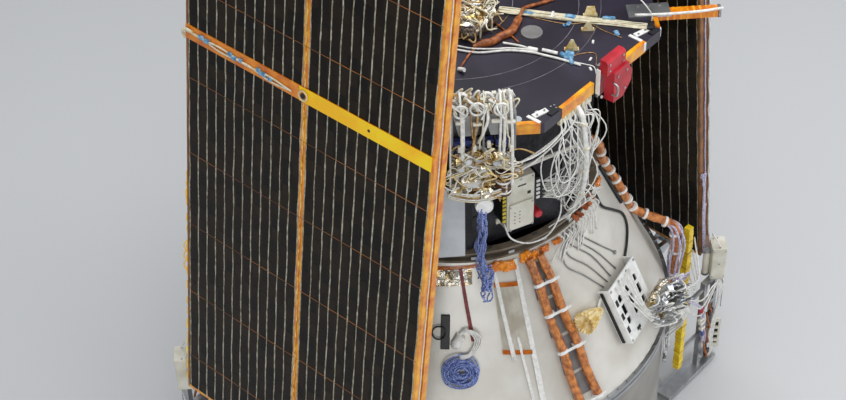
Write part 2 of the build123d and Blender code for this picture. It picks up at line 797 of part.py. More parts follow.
def root_bracket(number, y):
    """One clevis on the skirt, out to the wing's root hinge line, with its pin."""
    x, z = root_axis
    pad_end = math.sqrt(skirt_outer_r ** 2 - (abs(y) - pad_width / 2) ** 2)
    pad_start = pad_end - pad_depth
    whole = block(pad_depth, pad_width, pad_height, ((pad_start + pad_end) / 2, y, z - pad_drop))
    for ear in (-1, 1):
        ear_y = y + ear * (lug_half + ear_gap + ear_width / 2)
        outline = Polyline((x, root_knuckle_r), (x, -root_knuckle_r), (pad_start, -arm_low),
                           (pad_start, arm_high), close=True)
        whole += Pos(0, ear_y, z) * extrude(Plane.XZ * make_face(outline), amount=ear_width / 2, both=True)
        whole += Pos(x, ear_y, z) * Rot(90, 0, 0) * Cylinder(root_knuckle_r, ear_width)
    whole += Pos(x, y, z) * Rot(90, 0, 0) * Cylinder(root_pin_r, 2 * (lug_half + ear_gap + ear_width))
    whole -= Pos(0, 0, z) * Cylinder(skirt_outer_r + seat_gap, 4 * pad_height)
    return wing_place(number) * whole


def hinge_tower(number):
    """Post frame, drive box with its can, slotted tag and tape-wrapped conduit beside a wing's root."""
    turn = wing_place(number)
    frame = block(base_reach, 2 * base_half, base_thick,
                  (base_x + base_reach / 2, tower_post_y, foot_thick + base_thick / 2))
    for shift in (-1, 1):
        frame += block(frame_post, frame_post, frame_top - foot_thick, (
            frame_x + shift * frame_depth / 2, tower_post_y, (foot_thick + frame_top) / 2))
    for z in frame_rungs:
        frame += block(frame_depth, frame_post, frame_post, (frame_x, tower_post_y, z))
    arm_start = wrapped_x + wrapped_size / 2 + seat_gap
    arm_end = frame_x - frame_depth / 2
    for z in arm_rungs:
        frame += block(arm_end - arm_start, *arm_size, ((arm_start + arm_end) / 2, tower_post_y, z))
    post_side = frame_x + frame_depth / 2 + frame_post / 2
    frame += block(*slot_tag_arm, (post_side + slot_tag_arm[0] / 2, tower_post_y, slot_tag_place[2]))
    drive = block(*drive_size, (0, 0, drive_size[2] / 2))
    drive = fillet(drive.edges().filter_by(Axis.Z), drive_round)
    can = Pos(0, -drive_size[1] / 2 - can_r - seat_gap, 0) * extrude(Circle(can_r), amount=can_length)
    place = Pos(drive_x, tower_post_y, frame_top) * Rot(0, 0, drive_turn)
    tag = block(*slot_tag)
    for z, wide, high in slot_tag_holes:
        tag -= block(4 * slot_tag[0], wide, high, (0, 0, z))
    tag_place = Pos(frame_x + slot_tag_place[0], tower_post_y + slot_tag_place[1], slot_tag_place[2])
    conduit = block(wrapped_size, wrapped_size, wrapped_joint - wrapped_low,
                    (wrapped_x, tower_post_y, (wrapped_joint + wrapped_low) / 2))
    conduit += block(wrapped_size, wrapped_size, wrapped_high - wrapped_joint,
                     (wrapped_x - wrapped_set_back, tower_post_y, (wrapped_high + wrapped_joint) / 2))
    tag_room = block(slot_tag[0] + 2 * seat_gap, *slot_tag[1:])
    frame -= tag_place * Rot(0, 0, drive_turn) * tag_room
    boxes = [turn * place * drive, turn * place * can, turn * tag_place * Rot(0, 0, drive_turn) * tag]
    return turn * frame, boxes, turn * conduit


def build_wing_roots():
    """What the bus carries at the two wing roots."""
    save("root_brackets", *[root_bracket(number, y) for number in (0, 1)
                            for y in (-root_hinge_y, root_hinge_y)])
    frames, boxes, conduits = zip(hinge_tower(0), hinge_tower(1))
    save("hinge_towers", *frames)
    save("hinge_drives", *boxes[0], *boxes[1])
    save("wrapped_conduits", *conduits)


def cross_bar(x, y, z, radius, length):
    """A round bar along Y about a middle point."""
    return Pos(x, y, z) * Rot(90, 0, 0) * Cylinder(radius, length)


def build_panels(place, side):
    """The two panels of a wing with their cell columns, and the bar across the outer one."""
    height = wing_above_bar + wing_below_bar
    middle_up = (wing_above_bar - wing_below_bar) / 2
    outer_face = panel_thick + panel_gap
    inner = block(panel_thick, wing_width, height, (panel_thick / 2, 0, middle_up))
    outer = block(panel_thick, wing_width, height, (outer_face + panel_thick / 2, 0, middle_up))
    column_y = [sign * (centre_strip / 2 + cell_pitch * (count + 0.5))
                for sign in (-1, 1) for count in range(cell_columns)]
    column_width = cell_pitch - cell_joint
    low = -wing_below_bar + cell_margin
    high = wing_above_bar - cell_margin
    inner_cells = [block(cell_thick, column_width, high - low,
                         (-cell_thick / 2, y, (low + high) / 2)) for y in column_y]
    beside_bar = bar_height / 2 + bar_clear
    spans = [(low, -beside_bar), (beside_bar, high)]
    outer_cells = [block(cell_thick, column_width, end - start,
                         (stack_thick + cell_thick / 2, y, (start + end) / 2))
                   for start, end in spans for y in column_y]
    bar = block(bar_thick, wing_width, bar_height, (stack_thick + bar_thick / 2, 0, 0))
    bar -= Pos(stack_thick, bar_hole_y, 0) * Rot(0, 90, 0) * Cylinder(bar_hole_r, 4 * bar_thick)
    collar = Pos(stack_thick + bar_thick + release_ring_long / 2, 0, 0) * Rot(0, 90, 0) * (
        Cylinder(release_ring_r, release_ring_long)
        - Cylinder(release_ring_r - release_ring_wall, 2 * release_ring_long))
    save(f"wing_{side}_inner_panel", place * inner)
    save(f"wing_{side}_outer_panel", place * outer)
    save(f"wing_{side}_inner_cells", *[place * cell for cell in inner_cells])
    save(f"wing_{side}_outer_cells", *[place * cell for cell in outer_cells])
    save(f"wing_{side}_hold_down_bar", place * (bar + collar))


def build_wing_hinges(place, side):
    """The lugs on a wing's root edge, and the ears and lugs at the edge where its panels fold."""
    root_lugs, ears, lugs = [], [], []
    half = panel_thick / 2
    top = -wing_below_bar
    for y in (-root_hinge_y, root_hinge_y):
        lug = block(panel_thick, 2 * (lug_half + lug_foot), edge_plate, (half, y, top - edge_plate / 2))
        lug += block(panel_thick - lug_slim, 2 * lug_half, root_axis_drop, (
            half, y, top - root_axis_drop / 2))
        lug += cross_bar(half, y, top - root_axis_drop, root_knuckle_r - lug_slim, 2 * lug_half)
        lug -= cross_bar(half, y, top - root_axis_drop, root_pin_r + pin_play, 3 * lug_half)
        root_lugs.append(place * lug)
    axis_up = wing_above_bar + panel_axis_rise
    axis_out = panel_thick + panel_gap / 2
    web_in = panel_thick - knuckle_web / 4
    web_out = panel_thick + panel_gap + knuckle_web / 4
    ear_middle = lug_half + ear_gap + ear_width / 2
    pin_length = 2 * (lug_half + ear_gap + ear_width)
    for y in (-panel_hinge_y, panel_hinge_y):
        ear = block(panel_thick, pin_length, edge_plate, (half, y, wing_above_bar + edge_plate / 2))
        for sign in (-1, 1):
            ear += cross_bar(axis_out, y + sign * ear_middle, axis_up, panel_knuckle_r, ear_width)
            ear += block(knuckle_web, ear_width, panel_axis_rise, (
                web_in, y + sign * ear_middle, wing_above_bar + panel_axis_rise / 2))
        ear += cross_bar(axis_out, y, axis_up, panel_pin_r, pin_length)
        ears.append(place * ear)
        lug = block(panel_thick, 2 * lug_half, edge_plate, (
            panel_thick + panel_gap + half, y, wing_above_bar + edge_plate / 2))
        lug += block(knuckle_web, 2 * lug_half, panel_axis_rise, (
            web_out, y, wing_above_bar + panel_axis_rise / 2))
        lug += cross_bar(axis_out, y, axis_up, panel_knuckle_r, 2 * lug_half)
        lug -= cross_bar(axis_out, y, axis_up, panel_pin_r + pin_play, 3 * lug_half)
        lugs.append(place * lug)
    save(f"wing_{side}_root_lugs", *root_lugs)
    save(f"wing_{side}_panel_ears", *ears)
    save(f"wing_{side}_panel_lugs", *lugs)


def build_hold_downs():
    """Brackets on the deck's two wing sides, each with the cup that the folded wing rests on."""
    length, width, thick = hold_down_foot
    top = bar_level + hold_down_over
    face = deck_apothem - hold_down_in
    cup_length = wing_stand_off + cup_rooted
    brackets = []
    for number in (0, 1):
        for y in (-hold_down_y, 0, hold_down_y):
            bracket = block(length, width, thick, (face - length / 2, y, deck_top + thick / 2))
            bracket += block(hold_down_plate, width, top - deck_top, (
                face - hold_down_plate / 2, y, (top + deck_top) / 2))
            bracket += wing_plane() * Pos(-cell_thick - seat_gap - cup_length / 2, y, 0) * Rot(
                0, 90, 0) * Cylinder(hold_down_r, cup_length)
            brackets.append(wing_place(number) * bracket)
    save("hold_down_brackets", *brackets)


build_adapter()
build_cone()
build_struts()
build_deck()
build_corner_brackets()
build_outriggers()
build_guard()
build_tower()
build_closeout()
build_boxes()
build_leads()
build_deck_runs()
build_cone_runs()
build_cone_straps()
build_slot_plate()
build_cone_units()
build_hold_downs()
build_wing_roots()
for wing_number, wing_side in enumerate(("right", "left")):
    wing_at = wing_place(wing_number) * wing_plane()
    build_panels(wing_at, wing_side)
    build_wing_hinges(wing_at, wing_side)
print("root hinge line x, z:", root_axis)
print("panel hinge line x, z:", panel_axis)
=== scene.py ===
import math
import random
import bmesh
import bpy
from mathutils import Matrix, Vector, noise


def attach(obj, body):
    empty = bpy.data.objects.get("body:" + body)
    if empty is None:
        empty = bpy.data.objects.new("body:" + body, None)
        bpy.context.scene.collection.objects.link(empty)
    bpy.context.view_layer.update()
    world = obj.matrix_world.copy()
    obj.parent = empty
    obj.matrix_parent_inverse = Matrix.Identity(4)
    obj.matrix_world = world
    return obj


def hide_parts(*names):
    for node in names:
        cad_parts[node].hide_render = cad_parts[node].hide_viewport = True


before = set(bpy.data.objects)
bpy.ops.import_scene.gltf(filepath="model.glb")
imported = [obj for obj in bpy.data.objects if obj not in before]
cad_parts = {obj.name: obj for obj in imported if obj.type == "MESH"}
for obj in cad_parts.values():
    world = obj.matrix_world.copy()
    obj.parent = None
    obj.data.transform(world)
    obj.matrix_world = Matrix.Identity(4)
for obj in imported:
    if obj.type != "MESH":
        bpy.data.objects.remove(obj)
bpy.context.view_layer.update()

# View: a long lens high on the left front, looking down on the deck between the two folded wings.
# The place and the turn come from the lines of the left wing, the deck's corners and the rings.
camera_at = Vector((-3.848, -3.270, 5.659))
camera_aim = Vector((-0.777, -0.537, 1.945))
camera_roll = math.radians(-1.48)
lens_mm = 83.4
sensor_mm = 36.0


def facing(start, end):
    """Place at a start, turned so that its -Z looks at an end."""
    turn = (Vector(end) - Vector(start)).to_track_quat("-Z", "Y").to_matrix().to_4x4()
    return Matrix.Translation(start) @ turn


eye = bpy.data.cameras.new("long_lens")
eye.lens = lens_mm
eye.sensor_width = sensor_mm
eye.clip_end = 60.0
camera = bpy.data.objects.new("long_lens", eye)
bpy.context.scene.collection.objects.link(camera)
camera.matrix_world = facing(camera_at, camera_aim) @ Matrix.Rotation(camera_roll, 4, "Z")
bpy.context.scene.camera = camera
bpy.context.scene.view_settings.view_transform = "Standard"


# Floor and light: a pale matt floor, a soft overhead panel, a long soft panel from the left front,
# a weaker one from the right, and an even pale sky.
def linear(code):
    """Linear colour of an sRGB hex code such as #C08040."""
    values = [int(code[i:i + 2], 16) / 255 for i in (1, 3, 5)]
    return [v / 12.92 if v <= 0.04045 else ((v + 0.055) / 1.055) ** 2.4 for v in values] + [1.0]


def add(tree, kind, links=None, **settings):
    """Add a shader node, set what is given, and feed its sockets from values or other sockets."""
    made = tree.nodes.new(kind)
    for name, value in settings.items():
        setattr(made, name, value)
    for name, value in (links or {}).items():
        if isinstance(value, bpy.types.NodeSocket):
            tree.links.new(value, made.inputs[name])
        else:
            made.inputs[name].default_value = value
    return made


def finish(name, colour, roughness, metallic=0.0, tones=None, grain=None, slot=None, **sockets):
    """A material: blotches between two tones and bumps from fine noise; its slot is not used.

    Tones are two colours, waves per metre, where the blend starts and ends, and detail. Grain is
    waves per metre, strength, depth in metres, and detail.
    """
    material = bpy.data.materials.new(name)
    material.use_nodes = True
    tree = material.node_tree
    shader = tree.nodes["Principled BSDF"]
    sockets.update(base_color=linear(colour), roughness=roughness, metallic=metallic)
    for socket, value in sockets.items():
        words = socket.replace("_", " ").title().replace("Ior", "IOR")
        shader.inputs[words].default_value = value
    place = add(tree, "ShaderNodeTexCoord").outputs["Object"]
    if tones:
        first, second, scale, low, high, detail = (*tones, *(0.4, 0.6, 4.0)[len(tones) - 3:])
        cloud = add(tree, "ShaderNodeTexNoise", {"Vector": place, "Scale": scale, "Detail": detail})
        two_tone(tree, shader, cloud.outputs["Fac"], first, second, low, high)
    if grain:
        scale, strength, depth, detail = (*grain, *(4.0,)[len(grain) - 3:])
        bumps = add(tree, "ShaderNodeTexNoise", {"Vector": place, "Scale": scale, "Detail": detail})
        bump = add(tree, "ShaderNodeBump",
            {"Height": bumps.outputs["Fac"], "Strength": strength, "Distance": depth})
        tree.links.new(bump.outputs["Normal"], shader.inputs["Normal"])
    return material


def two_tone(tree, shader, share, first, second, low=0.0, high=1.0):
    """Colour a surface between two tones by the value of a pattern."""
    ramp = add(tree, "ShaderNodeValToRGB", {"Fac": share})
    for end, position, code in zip(ramp.color_ramp.elements, (low, high), (first, second)):
        end.position = position
        end.color = linear(code)
    tree.links.new(ramp.outputs["Color"], shader.inputs["Base Color"])


floor_size = 90.0
bpy.ops.mesh.primitive_plane_add(size=floor_size, location=(0, 0, -0.001))
floor = bpy.context.object
floor.name = "plain_floor"
floor.data.materials.append(finish("pale_floor_paint", "#C9CACB", 0.85))

sky = bpy.data.worlds.new("pale_sky")
bpy.context.scene.world = sky
sky.use_nodes = True
sky.node_tree.nodes["Background"].inputs["Color"].default_value = linear("#E9EDF2")
sky.node_tree.nodes["Background"].inputs["Strength"].default_value = 0.55

for name, place, aim, size, power in (("panel_over", (0.5, -0.5, 6.5), (0, 0, 1.5), 5.0, 260),
        ("panel_front", (-5.5, -5.0, 3.6), (0, -0.3, 1.4), 3.0, 150),
        ("panel_right", (4.5, -5.0, 2.6), (0.2, 0, 1.2), 2.5, 90)):
    light = bpy.data.lights.new(name, "AREA")
    light.size = size
    light.energy = power
    lamp = bpy.data.objects.new(name, light)
    bpy.context.scene.collection.objects.link(lamp)
    lamp.matrix_world = facing(place, aim)


# Machined aluminium fittings: flanges, feet, lugs, clevis arms and brackets, cut from plate and left
# clear anodised. Fine tool marks run round them.
def dress(material, *names):
    """Give CAD nodes their finish."""
    for name in names:
        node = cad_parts[name]
        node.data.materials.clear()
        node.data.materials.append(material)


machined = finish("clear_anodised_aluminium", "#B9BBBD", 0.38, 1.0, ("#A9ABAE", "#C6C8CA", 14),
    (900, 0.15, 0.0004), "machined_aluminium")
dress(machined, "adapter_foot", "cone_flange", "strut_fittings", "guard_plate", "outrigger_roots",
    "hold_down_brackets", "root_brackets", "hinge_towers", "tower_collar", "wing_left_root_lugs",
    "wing_right_root_lugs", "wing_left_panel_ears", "wing_right_panel_ears", "wing_left_panel_lugs",
    "wing_right_panel_lugs")


# Cone and skirt: rolled sheet with a satin chromate primer, pale beige-grey on the cone and greyer on
# the skirt, with faint sheet mottling and a dull sheen.
cone_paint = finish("pale_primer_cone", "#C9C5BB", 0.42, 0.25, ("#CBC7BD", "#DDDAD2", 5), (40, 0.08, 0.002),
    "cone_skin")
dress(cone_paint, "cone_shell")
skirt_paint = finish("grey_primer_skirt", "#8D8A84", 0.5, 0, ("#85827C", "#97948E", 6), (60, 0.08, 0.002),
    "grey_skirt")
dress(skirt_paint, "adapter_skirt")
dress(finish("brown_primer_ring", "#6E6354", 0.5, 0, ("#63594B", "#7A6F5F", 18), (300, 0.1, 0.0005)),
    "upper_ring")


# Inner wall: panels wrapped in black blanket film, soft folds across them.
blanket = finish("black_blanket_film", "#15141A", 0.42, 0, ("#0E0D12", "#1F1D26", 9), (16, 0.6, 0.02, 6.0),
    "dark_wall")
dress(blanket, "inner_wall")


# Deck: a dark carbon-skinned plate with a faint purple cast, slightly uneven in tone.
dress(finish("carbon_deck_skin", "#2B2733", 0.36, 0, ("#26222D", "#322D3B", 7), (420, 0.06, 0.0004)),
    "deck_plate")


# Struts: tubes in a cream thermal paint, brushed on, nearly matt.
cream_paint = finish("cream_thermal_paint", "#DAD6CA", 0.55, 0, ("#D0CCBF", "#E2DFD5", 22), (260, 0.1, 0.0006),
    "cream_tube")
dress(cream_paint, "deck_struts")


# White painted straps and discs, and the black moulded target blocks.
white_paint = finish("white_enamel", "#E6E6E3", 0.4, 0, ("#DEDEDA", "#ECECEA", 40), (500, 0.05, 0.0003),
    "white_paint")
dress(white_paint, "corner_straps", "tower_disc", "cone_straps", "slotted_bracket")
black_block = finish("black_moulded_target", "#101014", 0.45, 0, ("#0C0C10", "#18181D", 60), (700, 0.1, 0.0003),
    "black_plastic")
dress(black_block, "corner_targets")


# Amber polyimide film: tape wound round edges and harnesses, glossy, wrinkled, with lap lines.
amber = finish("amber_polyimide_film", "#C07A22", 0.24, 0, ("#CC6804", "#F09410", 22, 0.35, 0.7, 3.0),
    (120, 0.5, 0.003, 8.0), "amber_film", coat_weight=0.5, coat_roughness=0.15)
dress(amber, "outriggers", "deck_harness", "cone_harness", "wing_left_hold_down_bar",
    "wing_right_hold_down_bar")


# Red guard: a bolted cover in red epoxy paint.
red_paint = finish("red_epoxy_guard", "#B3202E", 0.38, 0, ("#A71B28", "#BF2735", 20), (350, 0.08, 0.0004),
    "red_guard")
dress(red_paint, "red_guard")


# Grey plates of the instrument tower, and the pale panel hung beside it.
grey_plate = finish("grey_passivated_plate", "#8E8D8C", 0.4, 0.6, ("#838281", "#9B9A99", 12),
    (500, 0.08, 0.0004), "grey_plate")
dress(grey_plate, "tower_frame", "deck_disc")
pale_panel = finish("pale_conversion_coat", "#C5C9CC", 0.36, 0.35, ("#BCC0C4", "#CFD3D6", 8),
    (400, 0.06, 0.0004), "pale_panel")
dress(pale_panel, "closeout_panel")


# Equipment boxes and their fittings: folded sheet housings in a cream finish, moulded connectors in
# yellow and blue, wound tapes, plated tabs, and cable jackets drawn smooth.
box_paint = finish("cream_box_enamel", "#D3CFC0", 0.45, 0, ("#C9C5B5", "#DCD9CB", 15), (450, 0.08, 0.0004),
    "cream_plastic")
dress(box_paint, "electronics_box", "avionics_boxes", "hinge_drives", "tower_sockets")
yellow_plastic = finish("yellow_connector_strip", "#C9B62E", 0.35, 0, ("#BCA926", "#D6C33A", 60),
    slot="yellow_strip")
dress(yellow_plastic, "box_fittings")
yellow_tape = finish("yellow_wrap_tape", "#E0BE12", 0.32, 0, ("#C9A50C", "#F0D22A", 30, 0.35, 0.65, 6.0),
    (110, 0.5, 0.002, 6.0), "yellow_wrap")
dress(yellow_tape, "wrapped_conduits")
dress(finish("brown_wound_tape", "#4A2E1E", 0.45, 0, ("#3A2316", "#5E3C28", 60), (400, 0.3, 0.0006)),
    "tower_coil")
blue_shell = finish("blue_connector_shell", "#3A4690", 0.35, 0, ("#323D80", "#46539F", 60),
    slot="blue_connector")
dress(blue_shell, "tower_connectors")
gold_sheet = finish("gold_plated_sheet", "#E2CB8E", 0.36, 0.15, ("#D6B564", "#F3E4B8", 50), (300, 0.1, 0.0004),
    "gold_sheet")
dress(gold_sheet, "deck_tabs", "pleated_shield")
jacket = finish("white_cable_jacket", "#DEDDD8", 0.4, 0, ("#D2D1CB", "#E8E7E3", 70), slot="white_cable")
dress(jacket, "white_lead", "tower_cables", "box_leads")
pale_braid = finish("pale_lilac_braid", "#B9B3CC", 0.45, 0, ("#A39CBB", "#CFCADD", 140), slot="cream_cable")
ribbon_jacket = finish("cream_ribbon_jacket", "#D8D0B4", 0.42, 0, ("#CCC3A5", "#E2DBC2", 60),
    slot="cream_cable")
dress(ribbon_jacket, "deck_ribbon")


# Crumpled foil units: equipment wrapped in silver foil that turns gold where it doubles over.
foil = finish("crumpled_silver_foil", "#C9C4B4", 0.26, 1.0, ("#B89C5C", "#D8D6CF", 26, 0.38, 0.56, 6.0),
    (130, 0.4, 0.003, 6.0), "silver_foil")
dress(foil, "tower_foil", "deck_unit", "valve_cluster")


# Wing panels: carbon face sheets on honeycomb. Cells are glued on in columns, and the edges are taped.
bm = bmesh.new()


def make_piece(name, material, *stands_for, body="bus", slot=None, place=None, bm=bm):
    """Turn the bmesh into a piece that rides on a body, moved to its place, and clear it."""
    if place:
        bmesh.ops.transform(bm, matrix=place, verts=bm.verts)
    mesh = bpy.data.meshes.new(name)
    bm.to_mesh(mesh)
    bm.clear()
    mesh.materials.append(material)
    piece = bpy.data.objects.new(name, mesh)
    bpy.context.scene.collection.objects.link(piece)
    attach(piece, body)
    if stands_for:
        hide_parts(*stands_for)


# A wing's place is X out, Y along the hinge, Z up it. The left wing is the right one turned half round.
wing_lean = math.radians(7.5)
wings = [(side, Matrix.Rotation(turn, 4, "Z") @ Matrix.Translation((0.632, 0, 1.988))
    @ Matrix.Rotation(-wing_lean, 4, "Y")) for side, turn in (("right", 0), ("left", math.pi))]

carbon = finish("carbon_face_sheet", "#1B1A1B", 0.4)
tree = carbon.node_tree
weave = add(tree, "ShaderNodeTexWave", {"Vector": add(tree, "ShaderNodeTexCoord").outputs["Object"],
    "Scale": 160.0, "Distortion": 1.0}, bands_direction="DIAGONAL")
two_tone(tree, tree.nodes["Principled BSDF"], weave.outputs["Fac"], "#161516", "#222122")
dress(carbon, "wing_left_inner_panel", "wing_left_outer_panel", "wing_right_inner_panel",
    "wing_right_outer_panel")

cell_width = 0.0384
cell_high = 0.048
cell_joint = 0.0008
cell_corner = 0.006
cell_proud = 0.0008
columns_a_side = 12
column_pitch = 0.040
strip_width = 0.025
rows_above = 12
rows_below = 30
bar_half = 0.025
stack_out = 0.056

cell_glass = finish("cover_glass_cell", "#0C0908", 0.3, slot="cell_glass", specular_ior_level=0.15,
    coat_weight=0.05, coat_roughness=0.08)
tree = cell_glass.node_tree
place = add(tree, "ShaderNodeTexCoord").outputs["Object"]
step = add(tree, "ShaderNodeVectorMath", {0: place, 1: (1.0, column_pitch, cell_high)}, operation="DIVIDE")
tile = add(tree, "ShaderNodeVectorMath", {0: step.outputs[0]}, operation="FLOOR")
pick = add(tree, "ShaderNodeTexWhiteNoise", {"Vector": tile.outputs[0]}, noise_dimensions="3D")
two_tone(tree, tree.nodes["Principled BSDF"], pick.outputs["Value"], "#080605", "#21170C")


def only_verts(made):
    """The vertices among what an operator made."""
    return [v for v in made["geom"] if isinstance(v, bmesh.types.BMVert)]


def cell_blank(cell, direction):
    """One cell with its corners cropped, its top face towards the given side."""
    half_w, half_h = cell_width / 2, (cell_high - cell_joint) / 2
    outline = []
    for y, z in ((-1, -1), (1, -1), (1, 1), (-1, 1)):
        beside = (y * (half_w - cell_corner), z * half_h)
        along = (y * half_w, z * (half_h - cell_corner))
        outline += [along, beside] if y * z > 0 else [beside, along]
    face = cell.faces.new([cell.verts.new((0, y, z)) for y, z in outline])
    lifted = bmesh.ops.extrude_face_region(cell, geom=[face])
    bmesh.ops.translate(cell, verts=only_verts(lifted), vec=(direction * cell_proud, 0, 0))
    bmesh.ops.recalc_face_normals(cell, faces=cell.faces)


def spread(cells, count, step):
    """Repeat everything in a bmesh a number of times along a step."""
    first = cells.verts[:] + cells.edges[:] + cells.faces[:]
    for number in range(1, count):
        copy = bmesh.ops.duplicate(cells, geom=first)
        bmesh.ops.translate(cells, verts=only_verts(copy), vec=Vector(step) * number)


def join(part):
    """Put a bmesh into the piece and free it."""
    mesh = bpy.data.meshes.new("part")
    part.to_mesh(mesh)
    part.free()
    bm.from_mesh(mesh)
    bpy.data.meshes.remove(mesh)


for side, wing in wings:
    for layer, out, direction in (("inner", 0.0, -1), ("outer", stack_out, 1)):
        for rows, start in ((rows_above, bar_half), (rows_below, -bar_half - rows_below * cell_high)):
            for sign in (-1, 1):
                cells = bmesh.new()
                cell_blank(cells, direction)
                spread(cells, rows, (0, 0, cell_high))
                spread(cells, columns_a_side, (0, sign * column_pitch, 0))
                bmesh.ops.translate(cells, verts=cells.verts,
                    vec=(out, sign * (strip_width + column_pitch) / 2, start + cell_high / 2))
                join(cells)
        make_piece(f"{side}_{layer}_cell_columns", cell_glass, f"wing_{side}_{layer}_cells",
            body=f"wing_{side}_{layer}", place=wing)


# Interconnect wires between the columns of cells, and the amber seams between the cell modules.
# The wires are flat silver strip, laid by hand, so each one wanders a little.
def closed():
    """Turn all faces of the piece outwards."""
    bmesh.ops.recalc_face_normals(bm, faces=bm.faces)


def thicken(depth, corners=0):
    """Give the sheets a thickness in metres, or only the faces with that number of corners."""
    bmesh.ops.solidify(bm, geom=[face for face in bm.faces if corners in (0, len(face.verts))], thickness=depth)


silver = finish("silver_interconnect", "#D6CFB8", 0.42, 0.2, ("#B9AF90", "#F2ECDA", 60),
    slot="machined_aluminium")
seam_film = finish("brown_seam_film", "#9A5A22", 0.35, 0, ("#6E3E18", "#B4702C", 5), slot="amber_film")
wire_half = {"outer": 0.0023, "inner": 0.0016}
wire_step = 0.024
wire_thick = 0.0006
wire_lift = 0.0010
wire_low = -bar_half - rows_below * cell_high
wire_steps = int((rows_above + rows_below) * cell_high / wire_step) + 2
module_high = 0.288
random.seed(5)
for side, wing in wings:
    for layer, out, direction in (("inner", -wire_lift, -1), ("outer", stack_out + wire_lift, 1)):
        for sign in (-1, 1):
            for count in range(columns_a_side + 1):
                y = sign * (strip_width / 2 + count * column_pitch)
                phase = random.uniform(0, 6.28)
                sway = random.uniform(0.0006, 0.0014)
                last = None
                for index in range(wire_steps + 1):
                    z = wire_low + index * wire_step
                    shift = sway * math.sin(z * 26 + phase) + random.uniform(-0.0007, 0.0007)
                    half = wire_half[layer] * random.uniform(0.6, 1.3)
                    pair = [bm.verts.new((out, y + shift + side_way, z)) for side_way in (-half, half)]
                    if last:
                        bm.faces.new((last[0], last[1], pair[1], pair[0]))
                    last = pair
        thicken(wire_thick)
        closed()
        make_piece(f"{side}_{layer}_wires", silver, body=f"wing_{side}_{layer}", place=wing)
    for count in (-4.5, -3.5, -2.5, -1.5, -0.5, 0.5, 1.5):
        made = bmesh.ops.create_cube(bm, size=1.0)["verts"]
        bmesh.ops.scale(bm, verts=made, vec=(0.0008, 0.995, 0.0015))
        z = count * module_high + math.copysign(bar_half, count)
        bmesh.ops.translate(bm, verts=made, vec=(stack_out + 0.0013, 0, z))
    make_piece(f"{side}_outer_seams", seam_film, body=f"wing_{side}_outer", place=wing)


# Fasteners of the adapter: hexagon bolts round the cone's flange and the upper ring, zinc plated,
# and the countersunk rows that hold the skirt's splice strap and its blank rating plate.
def mm(*values):
    """A point or a size given in millimetres."""
    return Vector(values) / 1000


def at(*values):
    """Place at a point given in millimetres."""
    return Matrix.Translation(mm(*values))


def spin(angle, axis="Z"):
    """A turn about an axis, in radians."""
    return Matrix.Rotation(angle, 4, axis)


def slab(size, place, bevel=0.0, bm=bm):
    """A block of a size in millimetres at a place, its edges broken if a bevel is given."""
    made = bmesh.ops.create_cube(bm, size=1.0, matrix=place @ Matrix.Diagonal((*mm(*size), 1.0)))["verts"]
    if bevel:
        edges = list(dict.fromkeys(edge for vert in made for edge in vert.link_edges))
        bmesh.ops.bevel(bm, geom=edges, offset=bevel / 1000, offset_type="OFFSET", segments=1, profile=0.5,
            affect="EDGES", material=-1)


def drum(radius, height, place, sides=16, top=None):
    """A cylinder or cone frustum, in millimetres, that stands on its place along local Z."""
    bmesh.ops.create_cone(bm, cap_ends=True, segments=sides, radius1=radius / 1000,
        radius2=(radius if top is None else top) / 1000, depth=height / 1000,
        matrix=place @ Matrix.Translation((0, 0, height / 2000)))


def polar(radius, azimuth, z):
    """The point, in metres, at a radius and height in millimetres and an azimuth in degrees."""
    turn = math.radians(azimuth)
    return mm(radius * math.cos(turn), radius * math.sin(turn), z)


def off_side(azimuth, out, along, z):
    """Place before a flat side: X square out of it, Y along it, Z up."""
    return spin(math.radians(azimuth)) @ at(out, along, z)


lay_x = spin(math.pi / 2, "Y")
bolt_steel = finish("zinc_plated_steel", "#B4B6B8", 0.3, 1.0, ("#A4A6A8", "#C4C6C8", 120),
    slot="machined_aluminium")
for count in range(96):
    azimuth = 360 / 96 * count
    drum(4.6, 5, Matrix.Translation(polar(757.5, azimuth, 695)), 6)
for count in range(36):
    drum(5.5, 4, Matrix.Translation(polar(464, 10 * count + 4, 1290)), 6)
make_piece("flange_bolts", bolt_steel)

splice_azimuths = (60, 120, 240, 330)
for azimuth in splice_azimuths:
    slab((2, 70, 520), off_side(azimuth, 750.4, 0, 350), 0.6)
make_piece("skirt_splice_straps", skirt_paint)
for azimuth in splice_azimuths:
    for along in (-26, 26):
        for row in range(18):
            drum(3.2, 1.6, off_side(azimuth, 751.2, along, 105 + 29 * row) @ lay_x, 8)
make_piece("splice_rivets", bolt_steel)

slab((1.5, 90, 54), off_side(-98, 750.6, 0, 430), 0.5)
make_piece("blank_rating_plate", machined)


# Deck seams: three round joints in the deck's skin, filled and wiped, a shade paler than the skin.
seam_filler = finish("pale_seam_filler", "#6F6B74", 0.5, 0, ("#5F5B64", "#827E86", 30), slot="deck_skin")
deck_top = 1945
for radius in (186, 396, 466):
    for count in range(120):
        low, high = [math.radians(3 * (count + step)) for step in (0, 1)]
        corners = [(radius - 0.9, low), (radius + 0.9, low), (radius + 0.9, high), (radius - 0.9, high)]
        bm.faces.new([bm.verts.new(mm(r * math.cos(turn), r * math.sin(turn), deck_top + 0.3))
            for r, turn in corners])
bmesh.ops.remove_doubles(bm, verts=bm.verts, dist=0.00001)
made = bmesh.ops.extrude_face_region(bm, geom=bm.faces[:])
bmesh.ops.translate(bm, verts=only_verts(made), vec=(0, 0, -0.0004))
closed()
make_piece("deck_seams", seam_filler)


